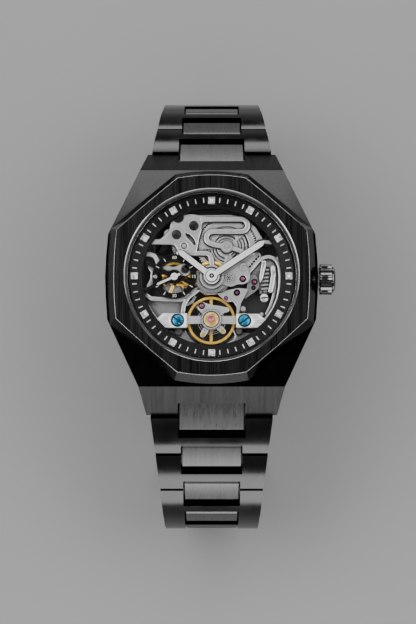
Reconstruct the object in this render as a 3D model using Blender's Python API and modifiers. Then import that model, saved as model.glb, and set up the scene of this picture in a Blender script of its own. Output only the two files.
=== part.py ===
"""A skeleton wristwatch on a link bracelet with a folding clasp.

Frame: the flat of the case back lies in z = 0 with its centre at the origin, +Z comes out through
the dial, +Y points to 12 o'clock and +X to the crown at 3 o'clock. Every size below is in
millimetres, and MM turns it into Blender's metres. A bracelet link has a frame of its own: the
origin on its near pin, y along the chain and z away from the wrist.
"""

import math

import bmesh
import bpy
from mathutils import Matrix, Vector

MM = 0.001

# Facets of a full circle: large rings, wheels, small bores and pins
RING_FACETS, WHEEL_FACETS, PIN_FACETS = 40, 20, 8

# Case
CASE_BOTTOM, CASE_TOP = 1.0, 9.2
CASE_QUADRANT = ((21.1, 0.0), (20.95, 4.0), (20.6, 8.6), (14.4, 21.8), (13.05, 26.75))
LUG_TOP_Y, LUG_TIP_Y, LUG_TIP_Z = 21.8, 26.75, 1.4
LUG_UNDER_Y, LUG_UNDER_Z = 26.2, 0.7
CASE_BORE = 16.55
BEZEL_BOTTOM, BEZEL_TOP = 9.4, 12.2
BEZEL_CORNERS = ((6.8, 19.35), (18.8, 8.9))
BEZEL_BULGE_END, BEZEL_BULGE_SIDE, BEZEL_BULGE_DIAGONAL = 0.65, 0.5, 0.15
BEZEL_FLARE = 1.07
BEZEL_BORE, BEZEL_LEDGE_BORE, BEZEL_LEDGE = 17.2, 16.6, 10.7
CRYSTAL_RADIUS, CRYSTAL_TOP = 16.75, 12.25
GASKET_RADIUS = 17.1
RING_INNER, RING_OUTER = 13.4, 16.35
RING_BOTTOM, RING_INNER_TOP, RING_OUTER_TOP = 9.05, 9.45, 10.1
MARKER_RADIUS, MARKER_SIDE = 15.3, 1.45
BACK_RADIUS, BACK_SPIGOT, BACK_WINDOW, BACK_SEAT = 17.9, 16.2, 12.4, 13.3
STEM_Z, STEM_RADIUS, STEM_HOLE = 5.6, 0.45, 0.7
CROWN_START, CROWN_END, CROWN_RIDGES = 21.35, 24.7, 18
CROWN_PEAK, CROWN_VALLEY = 3.1, 2.8

# Movement: where each staff stands
PLATE_LOW, PLATE_HIGH, PLATE_RADIUS = 3.9, 5.0, 14.6
BARREL_AT = (3.0, 6.1)
CROWN_WHEEL_AT = (-5.5, 6.25)
THIRD_AT = (-4.15, 1.0)
SECONDS_AT = (-7.4, 0.0)
ESCAPE_AT = (-5.74, -2.68)
PALLET_AT = (-3.9, -4.6)
BALANCE_AT = (-0.1, -8.5)
MINUTE_WHEEL_AT = (1.76, -1.48)
BRIDGE_LOW, BRIDGE_HIGH = 8.4, 9.0
BRIDGE_SCREWS_AT = ((-6.8, -8.6), (6.5, -8.7))
HOUR_ANGLE, MINUTE_ANGLE, SECONDS_ANGLE = 308.0, 56.5, 245.0

# Bracelet
PIVOT_Y, PIVOT_Z = 24.1, 2.6
LINK_HALF_THICKNESS, LINK_DOME, LINK_REACH = 1.6, 0.35, 1.4
LINK_NEAR, LINK_PITCH = 1.7, 8.4
FIRST_EXTRA = 1.4
NOTCH_DEPTH, NOTCH_BACK, NOTCH_GAP, CENTRE_REACH = 4.3, 0.65, 0.25, 2.65
NOSE_RADIUS, NOSE_BORE, PIN_RADIUS, PIN_BORE = 1.45, 1.65, 0.5, 0.62
PIN_INTO_ARM, BORE_INTO_ARM = 2.2, 2.45
LINK_WIDTHS = (24.4, 22.6, 20.9, 19.9, 19.3, 18.9, 18.7, 18.7, 18.7)
CENTRE_WIDTHS = (13.0, 11.9, 11.1, 10.6, 10.4, 10.4, 10.4, 10.4, 10.4)
SLOPES_12 = (41, 46, 64, 82, 107, 132, 154, 175)
SLOPES_6 = (33, 36, 50, 74, 97, 120, 144, 168)

# Clasp, in the frame of the cover: origin on the pin of the last link on the 6 o'clock side
COVER_START, COVER_END, COVER_HALF_WIDTH, COVER_WALL = 1.9, 43.0, 9.35, 1.05
COVER_BASE, COVER_FACE, COVER_RIM = 1.3, 2.3, -1.6
LONG_HINGE = (42.3, 0.25)
NOTCH_BEHIND_PIN, NOTCH_HALF_WIDTH = 1.35, 5.5
SHORT_HINGE = (9.0, -0.3)
CLOSED_END = 44.75
BUTTON_AT, BUTTON_LENGTH, BUTTON_HEIGHT = 20.0, 4.0, 1.4

for leftover in list(bpy.data.objects):
    bpy.data.objects.remove(leftover, do_unlink=True)

PARTS = bpy.data.collections.new("wristwatch")
TOOLS = bpy.data.collections.new("cutters")
for group in (PARTS, TOOLS):
    bpy.context.scene.collection.children.link(group)


def make_material(name, colour, metallic, roughness):
    material = bpy.data.materials.new(name)
    material.use_nodes = True
    shader = material.node_tree.nodes["Principled BSDF"]
    shader.inputs["Base Color"].default_value = (*colour, 1.0)
    shader.inputs["Metallic"].default_value = metallic
    shader.inputs["Roughness"].default_value = roughness
    return material


BLACK_STEEL = make_material("black_steel", (0.02, 0.02, 0.022), 0.9, 0.3)
GREY_STEEL = make_material("grey_steel", (0.12, 0.12, 0.125), 0.9, 0.35)
RHODIUM = make_material("rhodium", (0.62, 0.62, 0.63), 1.0, 0.3)
GILT = make_material("gilt_brass", (0.75, 0.5, 0.2), 1.0, 0.3)
BLUED = make_material("blued_steel", (0.08, 0.5, 0.75), 1.0, 0.2)
SPRING_STEEL = make_material("spring_steel", (0.35, 0.35, 0.38), 1.0, 0.3)
CHROME = make_material("dark_chrome", (0.3, 0.3, 0.31), 1.0, 0.15)
DIAL_BLACK = make_material("dial_black", (0.01, 0.01, 0.01), 0.0, 0.4)
SAPPHIRE = make_material("crystal", (0.9, 0.95, 1.0), 0.0, 0.05)
RUBBER = make_material("gasket_rubber", (0.03, 0.03, 0.03), 0.0, 0.7)


# Modelling helpers


def add_object(name, mesh, material=None):
    """A part where there is a material, and otherwise a hidden helper."""
    obj = bpy.data.objects.new(name, mesh)
    if material:
        mesh.materials.clear()
        mesh.materials.append(material)
        PARTS.objects.link(obj)
    else:
        obj.hide_render = True
        obj.display_type = "WIRE"
        TOOLS.objects.link(obj)
    return obj


def finish_mesh(name, bm, material=None):
    bmesh.ops.recalc_face_normals(bm, faces=bm.faces)
    bmesh.ops.scale(bm, vec=(MM, MM, MM), verts=bm.verts)
    mesh = bpy.data.meshes.new(name)
    bm.to_mesh(mesh)
    bm.free()
    return add_object(name, mesh, material)


def box(name, low, high, material=None):
    bm = bmesh.new()
    middle = (Vector(low) + Vector(high)) / 2
    sides = Vector(high) - Vector(low)
    place = Matrix.Translation(middle) @ Matrix.Diagonal((*sides, 1.0))
    bmesh.ops.create_cube(bm, size=1.0, matrix=place)
    return finish_mesh(name, bm, material)


def rod(name, radius, start, end, segments=WHEEL_FACETS, material=None):
    start, end = Vector(start), Vector(end)
    turn = (end - start).to_track_quat("Z", "Y").to_matrix().to_4x4()
    bm = bmesh.new()
    bmesh.ops.create_cone(
        bm,
        cap_ends=True,
        segments=segments,
        radius1=radius,
        radius2=radius,
        depth=(end - start).length,
        matrix=Matrix.Translation((start + end) / 2) @ turn,
    )
    return finish_mesh(name, bm, material)


def disc(name, centre, radius, low, high, segments=WHEEL_FACETS, material=None):
    return rod(name, radius, (*centre, low), (*centre, high), segments, material)


def prism(name, outline, low, high, material=None, top_scale=1.0):
    """The outline, in x and y, drawn up from low to high. The top may be scaled about the z axis."""
    bm = bmesh.new()
    face = bm.faces.new([bm.verts.new((x, y, low)) for x, y in outline])
    drawn = bmesh.ops.extrude_face_region(bm, geom=[face])["geom"]
    top = [part for part in drawn if isinstance(part, bmesh.types.BMVert)]
    for vert in top:
        vert.co = Vector((vert.co.x * top_scale, vert.co.y * top_scale, high))
    return finish_mesh(name, bm, material)


def side_prism(name, outline, half_width, material=None):
    """The outline, in y and z, drawn out to both sides. half_width is a function of y."""
    bm = bmesh.new()
    face = bm.faces.new([bm.verts.new((-1.0, y, z)) for y, z in outline])
    drawn = bmesh.ops.extrude_face_region(bm, geom=[face])["geom"]
    for part in drawn:
        if isinstance(part, bmesh.types.BMVert):
            part.co.x = 1.0
    for vert in bm.verts:
        vert.co.x *= half_width(vert.co.y)
    return finish_mesh(name, bm, material)


def turned(name, profile, segments=WHEEL_FACETS, ring=False, material=None, centre=(0.0, 0.0)):
    """A turned solid. The profile holds (radius, z) from the top down the outer side."""
    points = [(r * MM, 0.0, z * MM) for r, z in profile]
    edges = [(i, i + 1) for i in range(len(points) - 1)]
    if ring:
        edges.append((len(points) - 1, 0))
    mesh = bpy.data.meshes.new(name)
    mesh.from_pydata(points, edges, [])
    obj = add_object(name, mesh, material)
    screw = obj.modifiers.new("turn", "SCREW")
    screw.steps = screw.render_steps = segments
    screw.use_merge_vertices = True
    screw.merge_threshold = 0.00001
    bake(obj)
    obj.data.transform(Matrix.Translation((centre[0] * MM, centre[1] * MM, 0.0)))
    return obj


def bake(obj):
    """Puts the modifiers' result into the object's own mesh."""
    bpy.context.view_layer.update()
    graph = bpy.context.evaluated_depsgraph_get()
    before = obj.data
    result = bpy.data.meshes.new_from_object(obj.evaluated_get(graph), depsgraph=graph)
    obj.modifiers.clear()
    obj.data = result
    result.name = obj.name
    if before.users == 0:
        bpy.data.meshes.remove(before)
    return obj


def combine(base, operation, tools):
    """One Boolean for each tool, baked in; the tools are then removed."""
    for tool in tools:
        step = base.modifiers.new(operation.lower(), "BOOLEAN")
        step.operation = operation
        step.object = tool
    bake(base)
    for tool in tools:
        bpy.data.objects.remove(tool, do_unlink=True)
    return base


def join(base, *tools):
    return combine(base, "UNION", tools)


def cut(base, *tools):
    return combine(base, "DIFFERENCE", tools)


def keep_common(base, *tools):
    return combine(base, "INTERSECT", tools)


def strip(name, path, width, low, high, material=None):
    """A flat bar of rectangular section that follows the path of (x, y) points."""
    curve = bpy.data.curves.new(name, "CURVE")
    curve.dimensions = "3D"
    curve.extrude = (high - low) / 2 * MM
    spline = curve.splines.new("POLY")
    spline.points.add(len(path) - 1)
    for point, (x, y) in zip(spline.points, path):
        point.co = (x * MM, y * MM, (low + high) / 2 * MM, 1.0)
    ribbon = bpy.data.objects.new(name + "_ribbon", curve)
    TOOLS.objects.link(ribbon)
    thicken = ribbon.modifiers.new("thicken", "SOLIDIFY")
    thicken.thickness = width * MM
    thicken.offset = 0.0
    bpy.context.view_layer.update()
    graph = bpy.context.evaluated_depsgraph_get()
    mesh = bpy.data.meshes.new_from_object(ribbon.evaluated_get(graph), depsgraph=graph)
    bpy.data.objects.remove(ribbon, do_unlink=True)
    bm = bmesh.new()
    bm.from_mesh(mesh)
    bmesh.ops.remove_doubles(bm, verts=bm.verts, dist=0.000001)
    bmesh.ops.recalc_face_normals(bm, faces=bm.faces)
    bm.to_mesh(mesh)
    bm.free()
    return add_object(name, mesh, material)


def arc(centre, radius, start, end, steps):
    """Points on an arc; the angles are degrees from +X, anticlockwise."""
    angles = [math.radians(start + (end - start) * i / steps) for i in range(steps + 1)]
    return [(centre[0] + radius * math.cos(a), centre[1] + radius * math.sin(a)) for a in angles]


def spiral(centre, inner, outer, turns, steps_per_turn):
    count = int(turns * steps_per_turn)
    points = []
    for i in range(count + 1):
        radius = inner + (outer - inner) * i / count
        angle = 2 * math.pi * i / steps_per_turn
        points.append((centre[0] + radius * math.cos(angle), centre[1] + radius * math.sin(angle)))
    return points


def mirrored(quadrant):
    """A closed outline, symmetric about both axes, from the points of its first quadrant."""
    right = [(x, -y) for x, y in reversed(quadrant) if y > 0] + list(quadrant)
    return right + [(-x, y) for x, y in reversed(right)]


def place(obj, location, turn=(0.0, 0.0, 0.0), parent=None):
    """Location in millimetres and turn in degrees, both under the parent."""
    obj.parent = parent
    obj.location = Vector(location) * MM
    obj.rotation_euler = [math.radians(angle) for angle in turn]
    return obj


def shade(obj, angle=35.0):
    obj.data.shade_smooth()
    obj.data.set_sharp_from_angle(angle=math.radians(angle))


# Case


def bulged(start, end, bulge, steps=4):
    """Points from start up to, but without, end, on a line that bulges away from the middle."""
    start, end = Vector(start), Vector(end)
    outward = Vector((end.y - start.y, start.x - end.x)).normalized()
    if outward.dot(start + end) < 0:
        outward.negate()
    points = []
    for i in range(steps):
        share = i / steps
        points.append(tuple(start.lerp(end, share) + outward * bulge * 4 * share * (1 - share)))
    return points


def bezel_outline(scale=1.0):
    (end_x, end_y), (side_x, side_y) = BEZEL_CORNERS
    corners = [(end_x, end_y), (-end_x, end_y), (-side_x, side_y), (-side_x, -side_y)]
    corners += [(-end_x, -end_y), (end_x, -end_y), (side_x, -side_y), (side_x, side_y)]
    bulges = [BEZEL_BULGE_END, BEZEL_BULGE_DIAGONAL, BEZEL_BULGE_SIDE, BEZEL_BULGE_DIAGONAL] * 2
    points = []
    for start, end, bulge in zip(corners, corners[1:] + corners[:1], bulges):
        points += bulged(start, end, bulge)
    return [(x * scale, y * scale) for x, y in points]


def lug_cutters(side):
    """The pocket that a first link's nose swings in, with the bores for its pin."""
    pivot = Vector((0.0, side * PIVOT_Y, PIVOT_Z))
    width = CENTRE_WIDTHS[0] / 2 + NOTCH_GAP
    pocket = NOSE_RADIUS + NOTCH_GAP
    bore = width + BORE_INTO_ARM
    across = Vector((1.0, 0.0, 0.0))
    tools = [
        rod("lug_pocket", pocket, pivot - across * width, pivot + across * width),
        rod("lug_bore", PIN_BORE, pivot - across * bore, pivot + across * bore, PIN_FACETS),
    ]
    for slope in (-4.0, 26.0, 52.0):
        opening = box("lug_opening", (-width, 0.0, -pocket), (width, 8.0, pocket))
        turn = Matrix.Rotation(math.radians(-slope), 4, "X")
        if side < 0:
            turn = Matrix.Rotation(math.pi, 4, "Z") @ turn
        opening.data.transform(Matrix.Translation(pivot * MM) @ turn)
        tools.append(opening)
    return tools


def make_case():
    middle = prism("case_middle", mirrored(CASE_QUADRANT), 0.0, CASE_TOP, BLACK_STEEL)
    half_section = [(LUG_TOP_Y, CASE_TOP), (LUG_TIP_Y, LUG_TIP_Z), (LUG_UNDER_Y, LUG_UNDER_Z)]
    half_section += [(21.0, 0.8), (19.0, CASE_BOTTOM)]
    section = half_section + [(-y, z) for y, z in reversed(half_section)]
    keep_common(middle, side_prism("case_section", section, lambda y: 30.0))
    cut(
        middle,
        disc("case_bore", (0, 0), CASE_BORE, 0.0, 10.0, RING_FACETS),
        rod("stem_hole", STEM_HOLE, (15.0, 0, STEM_Z), (23.0, 0, STEM_Z), 12),
        turned("gasket_groove", [(17.7, 1.65), (17.7, 0.0), (16.8, 0.0), (16.8, 1.65)], RING_FACETS, True),
    )
    cut(middle, *lug_cutters(1), *lug_cutters(-1))

    bezel = prism(
        "bezel", bezel_outline(BEZEL_FLARE), BEZEL_BOTTOM, BEZEL_TOP, BLACK_STEEL, 1 / BEZEL_FLARE
    )
    cut(
        bezel,
        disc("bezel_bore", (0, 0), BEZEL_BORE, BEZEL_LEDGE, 14.0, RING_FACETS),
        disc("bezel_window", (0, 0), BEZEL_LEDGE_BORE, 8.0, 14.0, RING_FACETS),
    )
    edge = 0.25
    turned(
        "crystal",
        [
            (0.0, CRYSTAL_TOP),
            (CRYSTAL_RADIUS - edge, CRYSTAL_TOP),
            (CRYSTAL_RADIUS, CRYSTAL_TOP - edge),
            (CRYSTAL_RADIUS, 10.85),
            (0.0, 10.85),
        ],
        RING_FACETS,
        material=SAPPHIRE,
    )
    gasket_inner = CRYSTAL_RADIUS + 0.05
    turned(
        "crystal_gasket",
        [
            (GASKET_RADIUS, 12.05),
            (GASKET_RADIUS, 10.8),
            (gasket_inner, 10.8),
            (gasket_inner, 12.05),
        ],
        RING_FACETS,
        True,
        RUBBER,
    )


def make_chapter_ring():
    profile = [
        (RING_OUTER, RING_OUTER_TOP),
        (RING_OUTER, RING_BOTTOM),
        (RING_INNER, RING_BOTTOM),
        (RING_INNER, RING_INNER_TOP),
    ]
    ring = turned("chapter_ring", profile, RING_FACETS, True, DIAL_BLACK)
    half = MARKER_SIDE / 2
    markers = []
    for hour in range(12):
        marker = box(
            "hour_marker",
            (-half, MARKER_RADIUS - half, RING_BOTTOM + 0.2),
            (half, MARKER_RADIUS + half, RING_OUTER_TOP + 0.1),
        )
        marker.data.transform(Matrix.Rotation(math.radians(30 * hour), 4, "Z"))
        markers.append(marker)
    join(ring, *markers)


def make_case_back():
    chamfer = 0.4
    back = turned(
        "case_back",
        [
            (BACK_SPIGOT, 1.7),
            (BACK_SPIGOT, 0.9),
            (BACK_RADIUS, 0.9),
            (BACK_RADIUS, chamfer),
            (BACK_RADIUS - chamfer, 0.0),
            (BACK_WINDOW, 0.0),
            (BACK_WINDOW, 0.35),
            (BACK_SEAT, 0.35),
            (BACK_SEAT, 1.7),
        ],
        RING_FACETS,
        True,
        GREY_STEEL,
    )
    slots = []
    for number in range(6):
        slot = box("wrench_slot", (-1.0, 16.6, -1.0), (1.0, 19.0, 0.6))
        slot.data.transform(Matrix.Rotation(math.radians(60 * number), 4, "Z"))
        slots.append(slot)
    cut(back, *slots)
    seat, window = BACK_SEAT - 0.15, BACK_WINDOW - 0.2
    turned(
        "back_crystal",
        [(0.0, 1.5), (seat, 1.5), (seat, 0.4), (window, 0.4), (window, 0.0), (0.0, 0.0)],
        RING_FACETS,
        material=SAPPHIRE,
    )
    turned(
        "back_gasket",
        [(17.5, 1.5), (17.5, 0.95), (16.95, 0.95), (16.95, 1.5)],
        RING_FACETS,
        True,
        RUBBER,
    )


def make_crown():
    """The crown, the stem and the sliding pinion turn about +X; the setting lever pulls with them."""
    ridges = []
    for number in range(CROWN_RIDGES):
        for share, radius in (
            (0.0, CROWN_VALLEY),
            (0.18, CROWN_PEAK),
            (0.62, CROWN_PEAK),
            (0.8, CROWN_VALLEY),
        ):
            angle = 2 * math.pi * (number + share) / CROWN_RIDGES
            ridges.append((radius * math.cos(angle), radius * math.sin(angle)))
    length = CROWN_END - CROWN_START
    crown = prism("crown", ridges, 0.2, length - 0.7, CHROME)
    cap = turned(
        "crown_cap",
        [(0.0, length), (1.9, length), (2.6, length - 0.4), (2.6, 0.0), (0.0, 0.0)],
        24,
    )
    join(crown, cap)
    cut(crown, disc("stem_socket", (0, 0), STEM_RADIUS + 0.12, -1.0, 1.9, 16))
    place(crown, (CROWN_START, 0.0, STEM_Z), (0.0, 90.0, 0.0))

    stem_start, stem_end = 8.6, CROWN_START + 1.6
    stem = turned(
        "winding_stem",
        [
            (0.0, stem_end - stem_start),
            (STEM_RADIUS, stem_end - stem_start),
            (STEM_RADIUS, 4.9),
            (0.3, 4.9),
            (0.3, 4.1),
            (STEM_RADIUS, 4.1),
            (STEM_RADIUS, 0.0),
            (0.0, 0.0),
        ],
        16,
        material=SPRING_STEEL,
    )
    place(stem, (stem_start, 0.0, STEM_Z), (0.0, 90.0, 0.0))
    pinion = turned(
        "sliding_pinion",
        [
            (1.05, 2.4),
            (1.05, 1.5),
            (0.8, 1.5),
            (0.8, 0.9),
            (1.05, 0.9),
            (1.05, 0.0),
            (0.52, 0.0),
            (0.52, 2.4),
        ],
        20,
        True,
        RHODIUM,
    )
    place(pinion, (9.5, 0.0, STEM_Z), (0.0, 90.0, 0.0))

    lever = prism(
        "setting_lever",
        [(8.6, -2.2), (12.0, -2.6), (13.5, -0.7), (13.5, 0.7), (12.4, 1.2), (9.0, 1.4)],
        6.85,
        7.35,
        RHODIUM,
    )
    tab = box("lever_tab", (12.95, -0.3, 6.1), (13.25, 0.3, 7.1))
    join(lever, tab)


# Movement


def wheel(name, centre, levels, material, segments=WHEEL_FACETS):
    """A staff with its pinions and wheels. levels holds (radius, low, high), from the top down."""
    profile = [(0.0, levels[0][2])]
    for radius, low, high in levels:
        profile += [(radius, high), (radius, low)]
    profile.append((0.0, levels[-1][1]))
    return turned(name, profile, segments, material=material, centre=centre)


def make_movement_frame():
    turned(
        "movement_ring",
        [(16.4, 8.4), (16.4, 2.4), (14.85, 2.4), (14.85, 8.4)],
        RING_FACETS,
        True,
        SPRING_STEEL,
    )
    ring = bpy.data.objects["movement_ring"]
    cut(ring, rod("stem_way", 0.9, (14.0, 0, STEM_Z), (17.0, 0, STEM_Z), 16))

    plate = disc("mainplate", (0, 0), PLATE_RADIUS, PLATE_LOW, PLATE_HIGH, RING_FACETS, RHODIUM)
    windows = [((9.6, -6.2), 3.0), ((9.3, 8.0), 2.0), ((-9.6, 7.2), 2.2), ((-10.3, -5.6), 2.2)]
    windows += [((-5.2, -11.4), 1.7), ((5.2, -11.6), 1.5)]
    tools = [disc("window", at, size, 3.0, 6.0, 16) for at, size in windows]
    tools.append(box("pinion_way", (8.4, -1.6, 3.0), (13.2, 1.6, 6.0)))
    cut(plate, *tools)

    rotor_bridge = disc("rotor_bridge", (0, 0), 3.0, 3.0, 3.6, material=RHODIUM)
    arms = []
    for angle in (90, 210, 330):
        arm = box("bridge_arm", (0.0, -1.1, 3.0), (10.4, 1.1, 3.6))
        arm.data.transform(Matrix.Rotation(math.radians(angle), 4, "Z"))
        arms.append(arm)
    join(rotor_bridge, *arms, disc("rotor_post", (0, 0), 0.85, 1.95, 3.2, 20))


def make_bridges():
    plate = [(-7.3, 11.0), (-9.2, 9.4), (-10.2, 7.4), (-13.1, 7.2), (-13.1, 6.3), (-7.6, 6.2)]
    plate += [(-6.9, 5.0), (-6.3, 5.0), (-6.3, 7.6), (-5.2, 8.4), (-3.2, 9.0), (-2.4, 10.0)]
    plate += [(-1.6, 11.2), (-1.6, 12.3), (-5.4, 12.2)]
    barrel_bridge = prism("barrel_bridge", plate, BRIDGE_LOW, BRIDGE_HIGH, RHODIUM)
    right_bend = arc((6.0, 10.6), 1.25, 90, -90, 8)
    left_bend = arc((0.6, 7.6), 1.75, 90, 235, 8)
    path = [(-3.0, 11.85), *right_bend, *left_bend, (1.2, 6.1), (3.0, 6.1)]
    bar = strip("s_bar", path, 1.0, BRIDGE_LOW, BRIDGE_HIGH)
    join(
        barrel_bridge,
        bar,
        disc("barrel_hub", BARREL_AT, 1.15, BRIDGE_LOW, BRIDGE_HIGH),
        disc("bridge_foot", (-8.6, 8.8), 0.9, PLATE_HIGH + 0.05, BRIDGE_LOW + 0.2, 12),
    )
    cut(
        barrel_bridge,
        disc("screw_hole", (-3.6, 10.4), 0.9, 8.6, 10.0, 12),
        disc("screw_hole", (-6.8, 8.6), 0.9, 8.6, 10.0, 12),
    )

    train = [(1.9, 0.9), (2.4, 1.7), (5.0, 2.2), (7.6, 1.8), (9.9, 0.6), (9.9, -2.2), (6.6, -3.0)]
    train += [(6.3, -4.5), (3.4, -5.3), (1.6, -4.6), (1.3, -3.7), (3.4, -2.7), (3.8, -1.4)]
    train += [(3.4, -0.2)]
    train_bridge = prism("train_bridge", train, 8.28, 8.74, RHODIUM)
    join(train_bridge, disc("train_foot", (6.0, -2.6), 0.8, PLATE_HIGH + 0.05, 8.5, 16))

    tips = [(-10.9, -8.5), (-9.6, -7.2), (-5.0, -7.2), (-5.0, -7.7), (5.0, -7.7), (5.0, -7.2)]
    tips += [(9.2, -7.2), (10.8, -8.6), (9.2, -10.1), (5.0, -10.1), (5.0, -9.4), (-5.0, -9.4)]
    tips += [(-5.0, -10.1), (-9.6, -10.1)]
    balance_bridge = prism("balance_bridge", tips, 7.9, 8.6, RHODIUM)
    feet = [
        box("bridge_foot", (side - 1.9, -9.9, PLATE_HIGH + 0.05), (side + 1.9, -7.4, 8.2))
        for side in (-7.4, 7.4)
    ]
    join(balance_bridge, disc("balance_hub", BALANCE_AT, 2.1, 7.9, 8.75), *feet)
    holes = []
    for at in BRIDGE_SCREWS_AT:
        holes.append(disc("screw_sink", at, 1.2, 8.3, 10.0, 16))
        holes.append(disc("screw_hole", at, 0.6, 6.0, 10.0, 12))
    cut(balance_bridge, *holes)

    for name, at, turn in zip(
        ("bridge_screw_left", "bridge_screw_right"), BRIDGE_SCREWS_AT, (-38.0, 42.0)
    ):
        screw = wheel(name, at, [(1.0, 8.38, 8.75), (0.45, 6.1, 8.38)], BLUED, 16)
        slot = box("screw_slot", (-1.5, -0.13, 8.55), (1.5, 0.13, 9.0))
        slot.data.transform(Matrix.Rotation(math.radians(turn), 4, "Z"))
        slot.data.transform(Matrix.Translation((at[0] * MM, at[1] * MM, 0.0)))
        cut(screw, slot)

    seconds_dial = turned(
        "seconds_dial",
        [(4.4, 9.0), (4.4, 8.7), (3.3, 8.7), (3.3, 9.0)],
        28,
        True,
        DIAL_BLACK,
        SECONDS_AT,
    )
    x, y = SECONDS_AT
    join(
        seconds_dial,
        strip("upper_spoke", [(x, y), (-13.2, 3.4)], 0.8, 8.65, 8.85),
        strip("lower_spoke", [(x, y), (-13.2, -2.9)], 0.8, 8.65, 8.85),
        strip("right_spoke", [(x, y), (x + 3.8, y + 1.2)], 0.8, 8.65, 8.85),
        disc("seconds_boss", SECONDS_AT, 1.35, 8.6, 8.95, 16),
    )
    cut(seconds_dial, disc("seconds_hole", SECONDS_AT, 0.5, 8.0, 10.0, 12))


def make_train():
    turned(
        "barrel",
        [
            (5.0, 7.6),
            (5.0, 6.3),
            (5.5, 6.3),
            (5.5, 6.0),
            (0.7, 6.0),
            (0.7, 6.3),
            (4.75, 6.3),
            (4.75, 7.6),
        ],
        28,
        True,
        GILT,
        BARREL_AT,
    )
    strip("mainspring", spiral(BARREL_AT, 1.5, 4.5, 4, 12), 0.15, 6.45, 7.45, SPRING_STEEL)
    wheel(
        "ratchet_wheel",
        BARREL_AT,
        [(0.6, 8.2, 8.3), (5.9, 7.8, 8.2), (1.1, 6.4, 7.8), (0.4, 5.8, 6.4)],
        RHODIUM,
    )
    wheel(
        "crown_wheel",
        CROWN_WHEEL_AT,
        [(0.6, 8.2, 8.3), (2.45, 7.8, 8.2), (0.5, 5.15, 7.8)],
        RHODIUM,
    )
    wheel(
        "center_wheel",
        (0, 0),
        [
            (0.45, 8.5, 10.35),
            (0.6, 8.2, 8.5),
            (0.45, 6.4, 8.2),
            (1.1, 5.7, 6.4),
            (3.4, 5.4, 5.7),
            (0.35, 5.1, 5.4),
        ],
        GILT,
    )
    wheel(
        "third_wheel",
        THIRD_AT,
        [(0.25, 6.7, 7.4), (2.7, 6.4, 6.7), (0.6, 5.3, 6.4), (0.25, 5.1, 5.3)],
        GILT,
    )
    wheel(
        "fourth_wheel",
        SECONDS_AT,
        [(0.2, 6.85, 9.45), (0.5, 6.2, 6.85), (0.25, 5.7, 6.2), (2.6, 5.4, 5.7), (0.25, 5.1, 5.4)],
        GILT,
    )
    wheel(
        "escape_wheel",
        ESCAPE_AT,
        [(0.2, 6.15, 7.3), (1.6, 5.9, 6.15), (0.38, 5.25, 5.9), (0.2, 5.1, 5.25)],
        SPRING_STEEL,
        15,
    )
    make_pallet_fork()
    make_balance()
    turned(
        "hour_wheel",
        [(0.9, 9.8), (0.9, 9.05), (1.85, 9.05), (1.85, 8.8), (0.6, 8.8), (0.6, 9.8)],
        WHEEL_FACETS,
        True,
        RHODIUM,
    )
    wheel(
        "minute_wheel",
        MINUTE_WHEEL_AT,
        [(0.35, 8.5, 9.0), (1.5, 8.22, 8.5), (0.3, 7.2, 8.22)],
        RHODIUM,
    )
    make_rotor()


def make_pallet_fork():
    """The lever lies on the line from the escape wheel to the balance staff."""
    pivot = Vector(PALLET_AT)
    to_balance = (Vector(BALANCE_AT) - pivot).normalized()
    across = Vector((-to_balance.y, to_balance.x))
    low, high = 5.9, 6.15
    tail = [tuple(pivot - to_balance * 0.3), tuple(pivot + to_balance * 4.3)]
    fork = strip("pallet_fork", tail, 0.45, low, high, SPRING_STEEL)
    arms = [pivot + across * side * 1.3 - to_balance * 0.35 for side in (-1, 1)]
    cross = strip("pallet_arms", [tuple(arms[0]), tuple(pivot), tuple(arms[1])], 0.5, low, high)
    join(fork, cross, disc("pallet_staff", PALLET_AT, 0.3, 5.1, 6.5, 16))


def make_balance():
    x, y = BALANCE_AT
    rim = turned(
        "balance_wheel",
        [(4.8, 7.1), (4.8, 6.7), (4.25, 6.7), (4.25, 7.1)],
        28,
        True,
        GILT,
        BALANCE_AT,
    )
    join(
        rim,
        box("balance_arm", (x - 0.35, y - 4.5, 6.75), (x + 0.35, y + 4.5, 7.05)),
        disc("balance_hub", BALANCE_AT, 0.8, 6.7, 7.15, 20),
        disc("balance_staff", BALANCE_AT, 0.2, 5.1, 7.8, 12),
        disc("balance_roller", BALANCE_AT, 0.7, 5.95, 6.2, 20),
    )
    strip("hairspring", spiral(BALANCE_AT, 0.9, 2.9, 3.5, 12), 0.1, 7.3, 7.6, SPRING_STEEL)


def make_rotor():
    outline = arc((0, 0), 12.6, 180, 360, 14)
    rotor = prism("rotor", outline, 1.9, 2.7, RHODIUM)
    rim_outline = arc((0, 0), 12.4, 182, 358, 14) + arc((0, 0), 11.0, 358, 182, 14)
    rim = prism("rotor_rim", rim_outline, 2.3, 3.5)
    join(rotor, rim, disc("rotor_hub", (0, 0), 2.2, 1.9, 2.7))
    cut(rotor, disc("rotor_hole", (0, 0), 1.0, 1.0, 4.0, 16))


def hand(name, hub_inner, hub_outer, width, length, low, high, angle, centre=(0.0, 0.0), tail=0.0):
    """A baton with a pointed end, on a ring hub. The angle is clockwise from 12 o'clock."""
    half = width / 2
    outline = [(-half, -tail), (half, -tail), (half, length - width), (0.0, length)]
    outline.append((-half, length - width))
    blade = prism(name, outline, low, high, RHODIUM)
    join(blade, disc(name + "_hub", (0, 0), hub_outer, low, high, 16))
    cut(blade, disc(name + "_hole", (0, 0), hub_inner, low - 1, high + 1, 12))
    blade.data.transform(Matrix.Rotation(math.radians(-angle), 4, "Z"))
    place(blade, (centre[0], centre[1], 0.0))


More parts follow.
